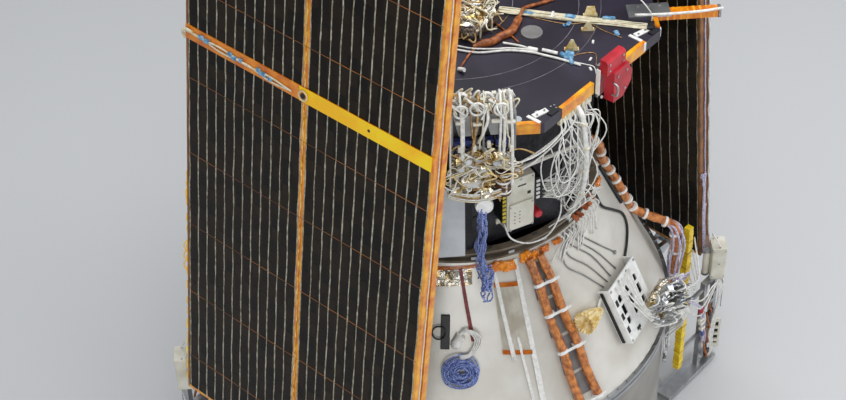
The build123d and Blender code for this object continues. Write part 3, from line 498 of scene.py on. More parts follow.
# Amber edge tape on the deck: lengths of polyimide tape folded over its edge, on every square side.
def ruffle(grain, depth, cuts=0, longer=0.0):
    """Cut the piece's edges over a length into short ones, then unsettle its surface, in metres."""
    if cuts:
        bmesh.ops.subdivide_edges(bm, edges=[edge for edge in bm.edges if edge.calc_length() > longer],
            cuts=cuts, use_grid_fill=True)
    for vert in bm.verts:
        vert.co += noise.noise_vector(vert.co * grain) * depth


noise.seed_set(11)
for quarter, spans in enumerate((((-209, -51), (87, 214)), (), ((-190, -75), (75, 190)), ())):
    turn = spin(math.pi / 2 * quarter)
    for start, end in spans:
        middle = (start + end) / 2
        slab((end - start, 1.0, 38), turn @ at(middle, -594.6, 1926))
        slab((end - start, 15, 1.0), turn @ at(middle, -587.5, deck_top + 0.6))
    for azimuth, along in ((-135, 158), (-45, -158)):
        slab((1.0, 86, 38), turn @ off_side(azimuth, 627.6, along, 1926))
        slab((15, 86, 1.0), turn @ off_side(azimuth, 620.5, along, deck_top + 0.6))
ruffle(70, 0.0005, 3)
bright_tape = finish("bright_amber_tape", "#D98A1E", 0.28, 0, ("#CC6402", "#F8B41C", 26, 0.3, 0.7, 5.0),
    (160, 0.5, 0.002, 8.0), "amber_film", coat_weight=0.5)
make_piece("deck_edge_tape", bright_tape)


# Panel edge tape: the same film in one long strip round the edge of each panel, lapped on both faces.
# The edge with the cabling on it has an older, browner tape.
brown_amber = finish("brown_amber_tape", "#7A4B1E", 0.34, 0, ("#5E3816", "#94602A", 18, 0.35, 0.65, 3.0),
    (160, 0.5, 0.002, 8.0), "amber_film")
for side, wing in wings:
    for layer, out in (("inner", 0), ("outer", 34)):
        slab((23.2, 13, 2086), at(out + 11, 499, -432))
        for z in (605.5, -1469.5):
            slab((23.2, 1000, 11), at(out + 11, 0, z))
        ruffle(34, 0.0006, 60, 0.5)
        make_piece(f"{side}_{layer}_edge_tape", bright_tape, body=f"wing_{side}_{layer}", place=wing)
        slab((23.2, 9, 2086), at(out + 11, -501, -432))
        ruffle(34, 0.0006, 60, 0.5)
        make_piece(f"{side}_{layer}_dull_tape", brown_amber, body=f"wing_{side}_{layer}", place=wing)


# Centre strips: an amber film strip down the middle of each cell face, with a laced cord on it.
def tube(points, radius, sides=7, between=5, lumps=0.0, bm=bm, place=None):
    """A round cable along a smooth line through points, with lumps in its surface if asked for.

    The radius and the lumps are in millimetres, and so are points given as plain numbers.
    """
    radius, lumps = radius / 1000, lumps / 1000
    line = [mm(*point) if isinstance(point, tuple) else point for point in points]
    if place:
        line = [place @ point for point in line]
    if between > 1:
        ends = [2 * line[0] - line[1]] + line + [2 * line[-1] - line[-2]]
        smooth = []
        for a, b, c, d in zip(ends, ends[1:], ends[2:], ends[3:]):
            for count in range(between):
                t = count / between
                smooth.append(0.5 * (2 * b + (c - a) * t + (2 * a - 5 * b + 4 * c - d) * t * t
                    + (3 * b - a - 3 * c + d) * t ** 3))
        line = smooth + [line[-1]]
    side = (line[1] - line[0]).orthogonal().normalized()
    last = None
    for index, here in enumerate(line):
        ahead = (line[min(index + 1, len(line) - 1)] - line[max(index - 1, 0)]).normalized()
        side = (side - ahead * side.dot(ahead)).normalized()
        other = ahead.cross(side)
        loop = []
        for turn in turns(sides)[:-1]:
            out = side * math.cos(turn) + other * math.sin(turn)
            swell = lumps * noise.noise((here + out * radius) * 60) if lumps else 0.0
            loop.append(bm.verts.new(here + out * (radius + swell)))
        if last:
            for count in range(sides):
                bm.faces.new((last[count], last[(count + 1) % sides], loop[(count + 1) % sides],
                    loop[count])).smooth = True
        else:
            bm.faces.new(reversed(loop))
        last = loop
    bm.faces.new(last)


def turns(steps):
    """Angles round a full turn, with both its ends."""
    return [2 * math.pi * step / steps for step in range(steps + 1)]


cord = finish("laced_gold_cord", "#CFA45A", 0.45, 0, ("#A8701F", "#F0D48E", 40), slot="cream_cable")
for side, wing in wings:
    for layer, face, way in (("inner", 0, -1), ("outer", 56, 1)):
        spans = [(-1463, 598)] if layer == "inner" else [(-1463, -27), (27, 598)]
        for low, high in spans:
            slab((0.8, 22, high - low), at(face + way * 0.5, 0, (low + high) / 2))
        ruffle(40, 0.0006, 70, 0.3)
        make_piece(f"{side}_{layer}_centre_strip", bright_tape, body=f"wing_{side}_{layer}", place=wing)
        for low, high in spans:
            steps = int((high - low) / 24)
            points = [mm(face + way * 3.4, 3.5 * noise.noise(mm(0, 0, 900 * count)) + 2 * math.sin(count * 1.9),
                low + (high - low) * count / steps) for count in range(steps + 1)]
            tube(points, 1.8, 6, 2, 1.4)
        make_piece(f"{side}_{layer}_centre_cord", cord, body=f"wing_{side}_{layer}", place=wing)


# Finish of the hold-down bar: yellow film over one half, and on the other a cream cable held down by
# turns of blue tape. The hole in the bar shows as a dark spot in the film.
yellow_film = finish("yellow_polyimide_film", "#E9A21A", 0.26, 0, ("#FCC000", "#FFD806", 9, 0.4, 0.6, 3.0),
    (120, 0.4, 0.002, 6.0), "amber_film")
blue_tape = finish("blue_adhesive_tape", "#5A8FB2", 0.4, 0, ("#4378A0", "#86B2CC", 70), (300, 0.2, 0.0006),
    "blue_connector")
for side, wing in wings:
    outer = f"wing_{side}_outer"
    slab((1.0, 518, 51), at(60.6, 239, 0))
    make_piece(f"{side}_bar_film", yellow_film, body=outer, place=wing)
    drum(5, 0.6, at(61.1, 258, 0) @ lay_x)
    drum(9, 2.5, at(66, 0, 0) @ lay_x)
    make_piece(f"{side}_bar_hole", black_block, body=outer, place=wing)
    tube([mm(66.5, 16 * math.cos(angle), 16 * math.sin(angle)) for angle in turns(24)], 2.6, 6, 1)
    make_piece(f"{side}_bar_collar", ribbon_jacket, body=outer, place=wing)
    for shift, sway in ((-3, 5), (3, -4)):
        points = [mm(64, 30 * count - 500, shift + 6 - 0.9 * count + sway * math.sin(count * 0.9))
            for count in range(16)]
        tube(points, 3.2, 6, 3)
    tube([(64, -470, 8), (68, -488, 14), (70, -504, 10), (66, -510, -10), (58, -508, -26)], 5, 8)
    make_piece(f"{side}_bar_cable", ribbon_jacket, body=outer, place=wing)
    for y, z, length in ((-432, 7, 22), (-408, 4, 26), (-306, 4, 20), (-290, -2, 26), (-262, 2, 14),
            (-186, 3, 16), (-170, -3, 30), (-138, -5, 18)):
        slab((8, length, 15), at(64, y, z) @ spin(0.14, "X"), 2.5)
    make_piece(f"{side}_bar_tape", blue_tape, body=outer, place=wing)


# Edge cabling of the wings: a pale laced cord down one edge of the outer panel, and lengths of it wound
# over with yellow film.
def crumple(size, place, depth, cuts=7, grain=26.0, bevel=0.0):
    """A block cut into small facets and pushed in and out like crushed foil."""
    lump = bmesh.new()
    slab(size, place, bevel, lump)
    bmesh.ops.subdivide_edges(lump, edges=lump.edges[:], cuts=cuts, use_grid_fill=True)
    bmesh.ops.triangulate(lump, faces=lump.faces[:])
    lump.normal_update()
    depth /= 1000
    for vert in lump.verts:
        push = noise.noise(vert.co * grain) + 0.7 * noise.noise(vert.co * grain * 3)
        drift = noise.noise_vector(vert.co * grain * 2)
        vert.co += vert.normal * push * depth + drift * depth * 0.7
    join(lump)


webbing = finish("white_webbing_strap", "#DAD9D4", 0.6, 0, ("#D2D1CC", "#E3E2DE", 90), (700, 0.25, 0.0003),
    "cream_cable")
for side, wing in wings:
    points = [mm(46 + 2 * math.sin(count * 1.7), -510 - 1.5 * math.sin(count * 2.3), 560 - 40 * count)
        for count in range(50)]
    tube(points, 3.4, 6, 2, 1.2)
    make_piece(f"{side}_edge_cord", webbing, body=f"wing_{side}_outer", place=wing)
    # A thin pale line along the outer panel's taped edge: a painted highlight standing for the glint along that
    # glossy tape, not a wire.
    points = [mm(37 + 0.7 * math.sin(count * 1.9), 507.2, 596 - 40 * count) for count in range(52)]
    tube(points, 2.1, 6, 2, 0.5)
    make_piece(f"{side}_outer_edge_glint_strip", webbing, body=f"wing_{side}_outer", place=wing)
    points = [mm(24 + 0.8 * math.sin(count * 1.3), -508.5 - 0.6 * math.sin(count * 2.1), 590 - 40 * count)
        for count in range(52)]
    tube(points, 2.6, 6, 2, 0.6)
    tube([(20, -510, -1050), (14, -512, -1120), (8, -512, -1240), (10, -511, -1360), (12, -510, -1462)], 5.5, 8,
        5, 1)
    for x, z in ((2, -1030), (20, -1040), (12, -1082), (18, -1200)):
        slab((13, 9, 17), at(x, -511, z) @ spin(0.2, "Y"), 2)
    for z in (-1024, -1046):
        tube([(8, -510, z), (-4, -520, z + 10), (-12, -524, z - 6), (-2, -514, z - 18)], 1.8, 6)
    make_piece(f"{side}_inner_edge_cord", pale_braid, body=f"wing_{side}_inner", place=wing)
    if side == "right":
        continue
    random.seed(62)
    for count in range(16):
        crumple((16, 9, random.uniform(18, 54)), at(45, -510, -560 - 58 * count + random.uniform(-12, 12)), 3,
            3, 60)
    for z in (516, 500, -860, -900, -940):
        tube([(40, -508, z), (46, -524, z + 14), (52, -528, z - 8), (46, -512, z - 26)], 2, 6)
    make_piece(f"{side}_edge_wraps", yellow_film, body=f"wing_{side}_outer", place=wing)


# Loose wiring on the deck: a brown wrapped run that goes on over the ribbon, white leads with their
# splice sleeves, thin sensing wires, and blue tape that holds them down.
lay_y = spin(math.pi / 2, "X")


def deck_line(points, height):
    """Points on the deck's top, raised in millimetres."""
    return [mm(x, y, deck_top + height) for x, y in points]


copper_wire = finish("thin_copper_wire", "#A07A4C", 0.4, 0.4, ("#8A663C", "#B48D5E", 90), slot="amber_film")
brown_wrap = finish("brown_spiral_wrap", "#8C4A22", 0.42, 0, ("#6E3616", "#B06632", 70, 0.35, 0.65, 6.0),
    (240, 0.5, 0.0012, 6.0), "amber_film")
tube(deck_line([(-128, -216), (-92, -234), (-56, -238), (-22, -247), (14, -238), (48, -224)], 11.5), 12.5, 12,
    8, 3)
drum(12, 30, at(-126, -217, 1956.5) @ spin(math.radians(153)) @ lay_x, 12, 3.6)
tube([(44, -226, 1958), (72, -216, 1966), (103, -209, 1962), (150, -219, 1953), (204, -242, 1950)], 5.5, 8, 6,
    2)
tube(deck_line([(-137, -211), (-176, -214), (-220, -226), (-262, -240)], 5), 3.5, 7, 5, 1)
tube(deck_line([(-4, -141), (-14, -200), (-30, -262), (-40, -293)], 4), 3, 7)
make_piece("deck_brown_wrap", brown_wrap, "deck_harness")

tube(deck_line([(-196, -160), (-160, -232), (-96, -292), (-58, -350), (-40, -400), (-24, -452), (-10, -512)],
    5), 3.7, 8)
tube(deck_line([(-74, -259), (-60, -290), (-50, -318), (-46, -346)], 5), 4, 8)
tube(deck_line([(-180, -159), (-160, -206), (-124, -254), (-84, -296), (-52, -346)], 9), 2.6, 8)
drum(8, 30, at(-50, -340, 1953) @ lay_y @ spin(math.radians(20), "Y"), 12)
drum(5.5, 50, at(-26, -376, 1952) @ lay_y @ spin(math.radians(18), "Y"), 12)
tube(deck_line([(-8, -486), (4, -520), (10, -548), (-20, -580)], 3), 1.8, 6)
drum(7, 24, at(-262, -238, 1951) @ spin(math.radians(70), "X"), 10)
for x, y, turn in ((34, -516, 0.3), (-4, -545, 1.0), (108, -470, 0.6)):
    slab((16, 7, 5), at(x, y, 1948) @ spin(turn), 1)
tube([(266, -512, 1980), (330, -590, 1984), (402, -668, 1990), (450, -716, 1998)], 4.5, 8)
tube([(300, -552, 1948), (298, -552, 1985), (276, -520, 2040), (268, -440, 2078), (286, -350, 2050)], 2.1, 7)
make_piece("deck_white_leads", jacket, "white_lead")

for route in ([(180, -415), (176, -450), (178, -490), (182, -526)],
        [(41, -182), (0, -190), (-58, -178), (-130, -128)], [(5, -462), (40, -478), (66, -510), (20, -548)],
        [(86, -236), (120, -330), (150, -372), (190, -400)]):
    tube(deck_line(route, 2.2), 1.6, 5)
make_piece("deck_sensing_wires", copper_wire)

for x, y, turn, length, width, high in ((2, -458, 0.5, 34, 28, 15), (-14, -478, 1.1, 24, 14, 11),
        (-6, -440, 0.2, 14, 20, 14), (162, -340, 0.42, 18, 33, 12), (236, -440, 0.5, 14, 34, 11),
        (228, -430, 0.7, 12, 22, 13), (190, -500, 0.9, 26, 15, 7), (133, -356, 0.2, 20, 13, 9),
        (118, -350, 1.0, 14, 9, 8), (96, -226, 0.45, 12, 33, 11)):
    slab((length, width, high), at(x, y, deck_top + high / 2) @ spin(turn), 3)
ruffle(90, 0.0022)
make_piece("deck_blue_tape", blue_tape)

drum(14, 1.4, at(-330, -520, deck_top), 24)
drum(9, 1.4, at(-268, -548, deck_top), 20)
make_piece("deck_blank_dots", pale_panel)

for quarter in range(4):
    turn = spin(math.pi / 2 * quarter)
    for along in (-300.5, 208):
        for x, y in ((20, -556), (50, -560), (78, -562), (84, -578), (90, -566)):
            drum(3.4, 3.4, turn @ at(along + x, y, deck_top if x > 55 else deck_top + 3), 8)
make_piece("strap_screws", bolt_steel)


# Foil unit on the deck: a housing wrapped in crushed foil, tied round with white lacing, with a few
# leads and their connectors coming out of it.
def scatter(*spans):
    """A random point, in millimetres, with each coordinate drawn from its span."""
    return mm(*(random.uniform(*span) for span in spans))


crumple((146, 116, 60), at(-72, -128, 1977), 6, 9, 26, 14)
crumple((70, 50, 34), at(-118, -158, 2010) @ spin(0.5), 5, 6, 26, 8)
make_piece("deck_foil_unit", foil, "deck_unit")
for shift, high in ((-36, 2014), (20, 2008)):
    tube([(-72 + shift, -60, 1948), (-72 + shift, -64, high), (-70 + shift, -128, high + 6),
        (-72 + shift, -192, high), (-72 + shift, -196, 1948)], 3, 6)
tan_jacket = finish("tan_cable_jacket", "#A9854F", 0.45, 0, ("#93703D", "#C09C66", 70), slot="cream_cable")
random.seed(3)
for name, material, slot, count, starts, bends, radii in (("deck_unit_lacing", ribbon_jacket, "white_cable", 26,
        ((-142, -6), (-186, -84), (1990, 2016)), ((-26, 26), (-34, 14), (-10, 22)), (1.4, 2.8)),
        ("deck_unit_tan_leads", tan_jacket, "cream_cable", 30, ((-146, 0), (-190, -76), (1962, 2018)),
        ((-22, 22), (-26, 14), (-12, 16)), (1.8, 3.6))):
    for number in range(count):
        start = scatter(*starts)
        bend = [scatter(*bends) for step in range(3)]
        tube([start, start + bend[0], start + bend[0] + bend[1], start + bend[1] + bend[2]],
            random.uniform(*radii), 6, 4)
    make_piece(name, material, slot=slot)


# Ribbon run: separate cream wires laid side by side across the deck. They part a little on the way, and
# one strays from the others.
random.seed(13)
line = [(52, -134), (64, -162), (118, -258), (182, -380), (236, -478), (262, -526), (282, -558)]
for number in range(9):
    shift = 3.3 * (number - 4)
    points = [mm(x + shift * 0.88 + random.uniform(-2, 2), y + shift * 0.46, 1949 + random.uniform(-1.6, 3))
        for x, y in line]
    tube(points, random.uniform(1.9, 2.6), 6, 6)
tube(deck_line([(38, -126), (52, -182), (110, -276), (158, -372), (226, -470), (262, -530)], 9), 1.8, 6)
make_piece("deck_ribbon_wires", ribbon_jacket, "deck_ribbon")
across = spin(math.radians(27.5))
slab((32, 9, 12), at(134, -290, 1951) @ across, 2)
make_piece("ribbon_clip", white_paint)
slab((38, 20, 13), at(284, -562, 1951.5) @ across, 2)
slab((32, 16, 13), at(50, -131, 1951.5) @ across, 2)
make_piece("ribbon_plugs", black_block)


# Red guard hardware: a folded handle, four cap screws and the blank white tag on its plate.
slab((3, 16, 96), at(-45.6, -604, 1952), 1)
for x, z in ((-22, 1880), (-22, 2002), (62, 1880), (62, 2004)):
    drum(5, 4, at(x, -602, z) @ lay_y, 8)
make_piece("guard_tag", white_paint)
for x, z in ((8, 1884), (46, 1892), (8, 1958), (54, 1958)):
    drum(4.5, 4, at(x, -637.6, z) @ lay_y, 6)
for x, z in ((-24, 1994), (44, 1994), (-24, 2016), (44, 2016)):
    drum(4, 3, at(x, -629.6, z) @ lay_y, 6)
tube([(-14, -636, 1900), (-14, -654, 1906), (-14, -656, 1940), (-14, -638, 1946)], 3.5, 8)
make_piece("guard_screws", bolt_steel)


# Instrument tower cabling: looped cords between the sockets on the shelf and the units below, in white,
# cream, tan and gold jackets, each with a moulded lug. All of it is tied to the grey plates.
tower = spin(math.radians(-135)) @ at(627, 24, 0)
random.seed(11)
cords = {"white": bmesh.new(), "tan": bmesh.new(), "cream": bmesh.new(), "gold": bmesh.new()}
for y, lean, low, radius, kind in ((-96, -4, 1800, 3.4, "white"), (-67, 2, 1900, 4.2, "white"),
        (-12, -22, 1920, 3.8, "tan"), (4, -16, 1960, 2.6, "cream"), (50, -4, 1930, 4.2, "white"),
        (60, 14, 1960, 2.6, "cream"), (78, 6, 1810, 4.6, "white"), (-40, 10, 1965, 2.4, "tan")):
    route = [(24, y, 2080), (30, y, 2106), (60, y + lean * 0.1, 2108), (88, y + lean * 0.2, 2080),
        (97, y + lean * 0.4, 2040), (98, y + lean * 0.7, 1990), (99, y + lean, low + 20),
        (92, y + lean, low - 20)]
    tube(route, radius, 7, bm=cords[kind])
for y, z in ((-67, 2084), (50, 2086), (-20, 2092)):
    tube([mm(94, y + 20 * math.cos(angle), z + 22 * math.sin(angle)) for angle in turns(12)], 3.6, 6, 2,
        bm=cords["white"])
for number in range(34):
    start = scatter((20, 84), (-96, 88), (2076, 2092))
    bend = scatter((-12, 18), (-26, 26), (14, 30))
    end = scatter((6, 26), (-30, 30), (-30, 6))
    tube([start, start + bend, start + bend + end / 2, start + end], random.uniform(1.8, 3.2), 6, 4,
        bm=cords[("white", "cream", "white", "tan")[number % 4]])
for number in range(64):
    start = scatter((88, 104), (-108, 84), (1775, 1935))
    swing = [scatter((-8, 12), (-38, 38), (-34, 34)) for step in range(3)]
    tube([start, start + swing[0], start + swing[0] + swing[1], start + swing[1] + swing[2] / 2],
        random.uniform(1.6, 3), 6, 4, bm=cords[("white", "tan", "cream", "gold")[number % 4]])
for number in range(5):
    points = [mm(100 + 4 * math.sin(3 * angle), -20 + 88 * math.cos(angle),
        1770 + number * 7 + 26 * math.sin(angle))
        for angle in [math.pi * (1 + step / 10) for step in range(11)]]
    tube(points, 2.8, 6, 3, bm=cords[("cream", "white", "tan")[number % 3]])
for kind, material in (("white", jacket), ("tan", tan_jacket), ("cream", ribbon_jacket), ("gold", gold_sheet)):
    make_piece(f"tower_{kind}_cords", material, slot="cream_cable" if kind == "gold" else None, place=tower,
        bm=cords[kind])

for y in (-84, -60, -36, -12, 12, 36, 60, 84):
    slab((15, 15, 12), at(20, y, 2086), 2)
for y in (-72, -28, 14, 58, 80):
    slab((14, 11, 22), at(98, y, 1952 + 9 * math.sin(y)) @ spin(0.1, "Y"), 2)
for number in range(22):
    slab((random.uniform(9, 16), random.uniform(9, 18), random.uniform(8, 18)),
        at(random.uniform(20, 92), -94 + 8.4 * number, random.uniform(2080, 2100))
        @ spin(random.uniform(-0.6, 0.6)), 2)
for y, z in ((-70, 2046), (-20, 2038), (34, 2046), (78, 2040)):
    slab((12, 26, 9), at(96, y, z), 2)
make_piece("tower_lugs", box_paint, place=tower)

for y in (-56, 0, 50):
    for z in (1996, 2048):
        drum(4, 3, at(84.4, y, z) @ lay_x, 6)
for y, z in ((-46, 1900), (-68, 1872), (36, 1888)):
    drum(8.5, 22, at(88, y, z) @ spin(math.radians(75), "Y"), 12)
    drum(10.5, 6, at(96, y, z + 2) @ spin(math.radians(75), "Y"), 12)
drum(28, 6, at(92.5, 1, 1722) @ lay_x, 24)
make_piece("tower_hardware", machined, place=tower)

for size, middle, cuts in (((84, 120, 180), (48, -29, 1828), 9), ((44, 56, 180), (27, 60, 1828), 7),
        ((40, 56, 72), (70, 61, 1882), 6), ((30, 70, 44), (94, -40, 1816), 6), ((26, 46, 36), (94, 6, 1770), 6),
        ((22, 40, 30), (96, -84, 1786), 6), ((20, 44, 34), (98, 44, 1916), 6),
        ((18, 34, 26), (98, -4, 1868), 6), ((18, 30, 24), (99, -76, 1900), 6)):
    crumple(size, at(*middle), 5, cuts, 26, 8)
make_piece("tower_foil_wrap", foil, "tower_foil", place=tower)

for z in (1762, 1800, 1828):
    drum(24.8, 7, at(76, 60, z), 24)
make_piece("tower_coil_bands", white_paint, place=tower)


# Fittings beside the electronics box: a yellow connector strip with dark slots, a black terminal
# block with five white inserts, and a red screw cap. They are screwed to the inner wall.
box_side = -112.5
slab((48, 13, 152), off_side(box_side, 449.6, -72.3, 1478.5), 1.5)
slab((54, 25, 92), off_side(box_side, 452.6, 46.3, 1506), 2)
make_piece("terminal_block", black_block, "box_fittings")
for row in range(9):
    slab((5, 12.4, 11.5), off_side(box_side, 474, -72.3, 1411 + 17 * row), 1)
make_piece("yellow_slots", yellow_plastic)
for row in range(5):
    slab((4, 13, 10), off_side(box_side, 480.5, 46.3, 1472 + 17 * row), 0.8)
make_piece("white_inserts", white_paint)
drum(12, 58, off_side(box_side, 425.6, 46.3, 1404) @ lay_x, 20)
drum(15, 8, off_side(box_side, 482, 46.3, 1404) @ lay_x, 20, 13)
make_piece("red_screw_cap", red_paint)

for along, z in ((-56, 1374), (24, 1374), (-56, 1470), (24, 1470), (-58, 1570), (26, 1570), (-16, 1570)):
    out = 486.6 if z < 1475 else 479.3
    drum(3.4, 2.4, off_side(box_side, out, along, z) @ lay_x, 8)
make_piece("box_screws", bolt_steel)
for row in range(4):
    for along in (-40, -22):
        slab((1.2, 4, 3), off_side(box_side, 486.6, along, 1398 + 15 * row))
slab((1.2, 30, 5), off_side(box_side, 479.6, -12, 1545))
slab((1.2, 12, 12), off_side(box_side, 479.6, 14, 1506))
make_piece("box_marks", black_block)


# White wiring from the deck down to the ring: a taped main run, and loose leads with slack that loop
# out and back to the terminal block. It takes the place of the plain leads of the solid part.
tube([(-130, -592, 1908), (-136, -622, 1868), (-132, -636, 1725), (-116, -620, 1600), (-80, -574, 1480),
    (-40, -522, 1390), (-10, -486, 1302)], 8.5, 10)
random.seed(23)
for number in range(15):
    x = random.uniform(-214, -66)
    top = mm(x, -588, 1906)
    end = off_side(box_side, 486, 60, 1470 + 17 * (number % 5)).translation
    swing = random.uniform(-1, 1)
    high = mm(x + 36 * swing, -604 - random.uniform(0, 46), random.uniform(1780, 1860))
    middle = mm(-120 + 90 * random.uniform(-1, 1), random.uniform(-650, -560), random.uniform(1600, 1740))
    low = mm(-110 + random.uniform(-70, 90), random.uniform(-600, -530), random.uniform(1480, 1580))
    tube([top, top + mm(4 * swing, -12, -34), high, middle, low,
        end + mm(random.uniform(20, 60), -40, random.uniform(-30, 30)), end], 2.1, 6)
for number in range(5):
    middle = mm(-236 + 26 * number, random.uniform(-610, -580), random.uniform(1690, 1790))
    wide, tall = random.uniform(26, 50), random.uniform(60, 110)
    top = mm(middle.x * 1000 + 40, -588, 1906)
    tube([top, top + mm(6, -10, -36), middle + mm(wide * 0.6, -16, tall * 0.5),
        middle + mm(wide * 0.4, -20, -tall * 0.7), middle + mm(-wide, -6, -tall),
        middle + mm(-wide * 1.4, 10, -tall * 0.1), middle + mm(-wide * 0.2, 6, tall * 0.6),
        middle + mm(wide, -10, -tall), off_side(box_side, 486, 60, 1470 + 17 * number).translation], 2.1, 6)
for start, end in (((-196, -588, 1905), (-520, -452, 1800)), ((-150, -590, 1905), (-500, -470, 1742)),
        ((-210, -588, 1900), (-470, -500, 1836))):
    start, end = mm(*start), mm(*end)
    tube([start, start + mm(-16, -14, -40), start.lerp(end, 0.45) + mm(0, -30, -46), end + mm(20, -10, -16),
        end], 3, 6)
for number in range(6):
    end = off_side(box_side, 486, 60, 1470 + 17 * (number % 5)).translation
    foot = off_side(box_side, 490, 84 + 20 * number, 1330 + 10 * number).translation
    tube([end, end + mm(52 + 8 * number, -46, 10 - 6 * number), foot + mm(70, -50, 60), foot + mm(10, -8, 10),
        foot], 2.3, 6)
tube([off_side(box_side, out, along, z).translation for out, along, z in ((474, -72, 1400), (500, -60, 1352),
    (512, 0, 1316), (512, 70, 1322), (500, 118, 1376), (490, 128, 1450))], 3, 7)
make_piece("loose_white_leads", jacket, "box_leads")

for x, y, z in ((-136, -624, 1856), (-134, -634, 1766), (-125, -629, 1664), (-100, -600, 1540)):
    slab((21, 21, 10), at(x, y, z) @ spin(0.1, "Y"), 3)
for number in range(9):
    slab((12, 16, 28), at(-210 + 18 * number, -588, 1896), 3)
make_piece("lead_sleeves", ribbon_jacket)


# Wall dressing: taped seams and rows of round fasteners on the black blanket of the inner wall.
wall_out, corner_turn = 425, 22.5
for count in range(8):
    azimuth = 45 * count - corner_turn
    for along in (-150, 150):
        for z in (1310, 1420, 1530, 1640, 1750, 1880):
            drum(7, 2, off_side(azimuth, wall_out, along, z) @ lay_x, 12)
make_piece("blanket_buttons", black_block)
for count in range(8):
    azimuth = 45 * count
    reach = wall_out / math.cos(math.radians(corner_turn)) - 1
    slab((4, 26, 612), off_side(azimuth, reach, 0, 1599), 1)
ruffle(30, 0.002, 24, 0.3)
make_piece("blanket_corner_tape", blanket)


# Ring hardware: orange-brown connectors on its edge with white leads down the cone, P-clips, and
# crushed amber film where the harnesses pass under it.
cone_low, cone_high = 695, 1250
cone_foot_r, cone_head_r = 750, 478
cone_slope = math.atan2(cone_foot_r - cone_head_r, cone_high - cone_low)


def cone_r(z):
    """Radius of the cone's face at a height, in millimetres."""
    return cone_foot_r - (z - cone_low) / (cone_high - cone_low) * (cone_foot_r - cone_head_r)


def cone_point(azimuth, z, rise=0.0):
    """Point over the cone's face, raised square off it."""
    return polar(cone_r(z) + rise / math.cos(cone_slope), azimuth, z)


def cone_place(azimuth, z, rise=0.0):
    """Place on the cone's face: X square off it, Y round it, Z up it."""
    return (Matrix.Translation(cone_point(azimuth, z, rise)) @ spin(math.radians(azimuth))
        @ spin(-cone_slope, "Y"))


rust_shell = finish("orange_brown_shell", "#A8532A", 0.4, 0, ("#8F4420", "#BF6A3C", 70), slot="brown_ring")
for azimuth, z in ((-72, 1276), (-75.5, 1268), (-79, 1276), (-82.5, 1266), (-86, 1274)):
    shell = off_side(azimuth, 476, 0, z) @ spin(math.radians(100), "Y")
    drum(8, 24, shell, 12)
    drum(9.5, 6, shell @ at(0, 0, 14), 12)
make_piece("ring_connectors", rust_shell)
random.seed(4)
for number in range(12):
    azimuth = -72 - 2.3 * number
    start = polar(500, azimuth, 1268)
    drop = cone_point(azimuth - random.uniform(3, 6), 1176 + random.uniform(-14, 14), 4)
    tube([start, start + mm(2, -16, -10), cone_point(azimuth - 1.5, 1222, 16), drop], 2.6, 6)
make_piece("ring_white_leads", jacket)
for number in range(24):
    azimuth = 15 * number + 2
    slab((4, 22, 12), off_side(azimuth, 480, 0, 1270), 1.5)
make_piece("ring_clips", bolt_steel)
for azimuth, z, width, high in ((-125, 1232, 50, 30), (-120, 1228, 44, 36), (-109, 1234, 40, 26),
        (-104, 1236, 36, 24), (-59, 1246, 44, 20), (-98, 1238, 30, 18), (-112.5, 1238, 38, 32)):
    crumple((12, width, high), cone_place(azimuth, z, 8), 6, 5, 50, 3)
make_piece("amber_film_bunches", amber)


# Cone harnesses: two bundles in clear amber film over copper strands, laced to a grey tray with white
# ties, and a third down the right side that ends in pale braided branches.
harness_film = finish("amber_harness_film", "#A5541C", 0.28, 0, ("#8A4516", "#D98A42", 55, 0.34, 0.66, 6.0),
    (220, 0.6, 0.0025, 8.0), "amber_film", coat_weight=0.6, coat_roughness=0.12)


def front_point(x, z, rise):
    """Point over the front of the cone at a given X, raised square off its face."""
    radius = cone_r(z) + rise / math.cos(cone_slope)
    return mm(x, -math.sqrt(radius ** 2 - x ** 2), z)


twin_heights = (1236, 1150, 1040, 930, 820, 730)
twin_top, twin_foot = twin_heights[0], twin_heights[-1]
twin_ends = ((-186, -212), (-146, -140))
for top_x, foot_x in twin_ends:
    points = [front_point(top_x + (foot_x - top_x) * count / 5 + (3 if count % 2 else -3), z, 16)
        for count, z in enumerate(twin_heights)]
    tube(points, 15.2, 14, 10, 3.5)
    for turn in range(5):
        strand = [point + mm(14 * math.cos(turn * 1.4 + 0.5 * count),
            -12 * abs(math.sin(turn * 1.4 + 0.5 * count)), 5 * math.sin(turn))
            for count, point in enumerate(points)]
        tube(strand, 3.2, 6, 8, 1)
side_points = [polar(448, -46, 1352), polar(492, -45, 1306)]
side_points += [cone_point(-43 + (0.5 if count % 2 else -0.5), z, 17)
    for count, z in enumerate((1238, 1150, 1055, 970))]
side_points += [polar(750 + out, azimuth, z) for out, azimuth, z in ((26, -44.5, 900), (34, -45.6, 840),
    (36, -45.9, 750), (32, -46, 630))]
tube(side_points, 15.5, 14, 10, 4)
make_piece("amber_harness_runs", harness_film, "cone_harness")

for z in (1154, 1051, 923, 737):
    share = (twin_top - z) / (twin_top - twin_foot)
    centres = [top_x + (foot_x - top_x) * share for top_x, foot_x in twin_ends]
    for x in centres:
        place = front_point(x, z, 16)
        ahead = (front_point(x, z - 20, 16) - place).normalized()
        turn = ahead.to_track_quat("Z", "Y").to_matrix().to_4x4()
        drum(19.5, 11, Matrix.Translation(place) @ turn, 18)
    left, right = [front_point(x, z, 30) for x in (centres[0] - 10, centres[1] + 12)]
    across = (right - left).normalized()
    turn = Matrix.Translation((left + right) / 2) @ across.to_track_quat("X", "Z").to_matrix().to_4x4()
    slab(((right - left).length * 1000 + 20, 4, 12), turn, 1)
for count, (a, b) in enumerate(zip(side_points, side_points[1:])):
    for share in ((0.5,) if count < 2 or count > 5 else (0.25, 0.75)):
        place = a.lerp(b, share)
        turn = (b - a).to_track_quat("Z", "Y").to_matrix().to_4x4()
        drum(20, 9, Matrix.Translation(place) @ turn, 18)
make_piece("harness_ties", white_paint)

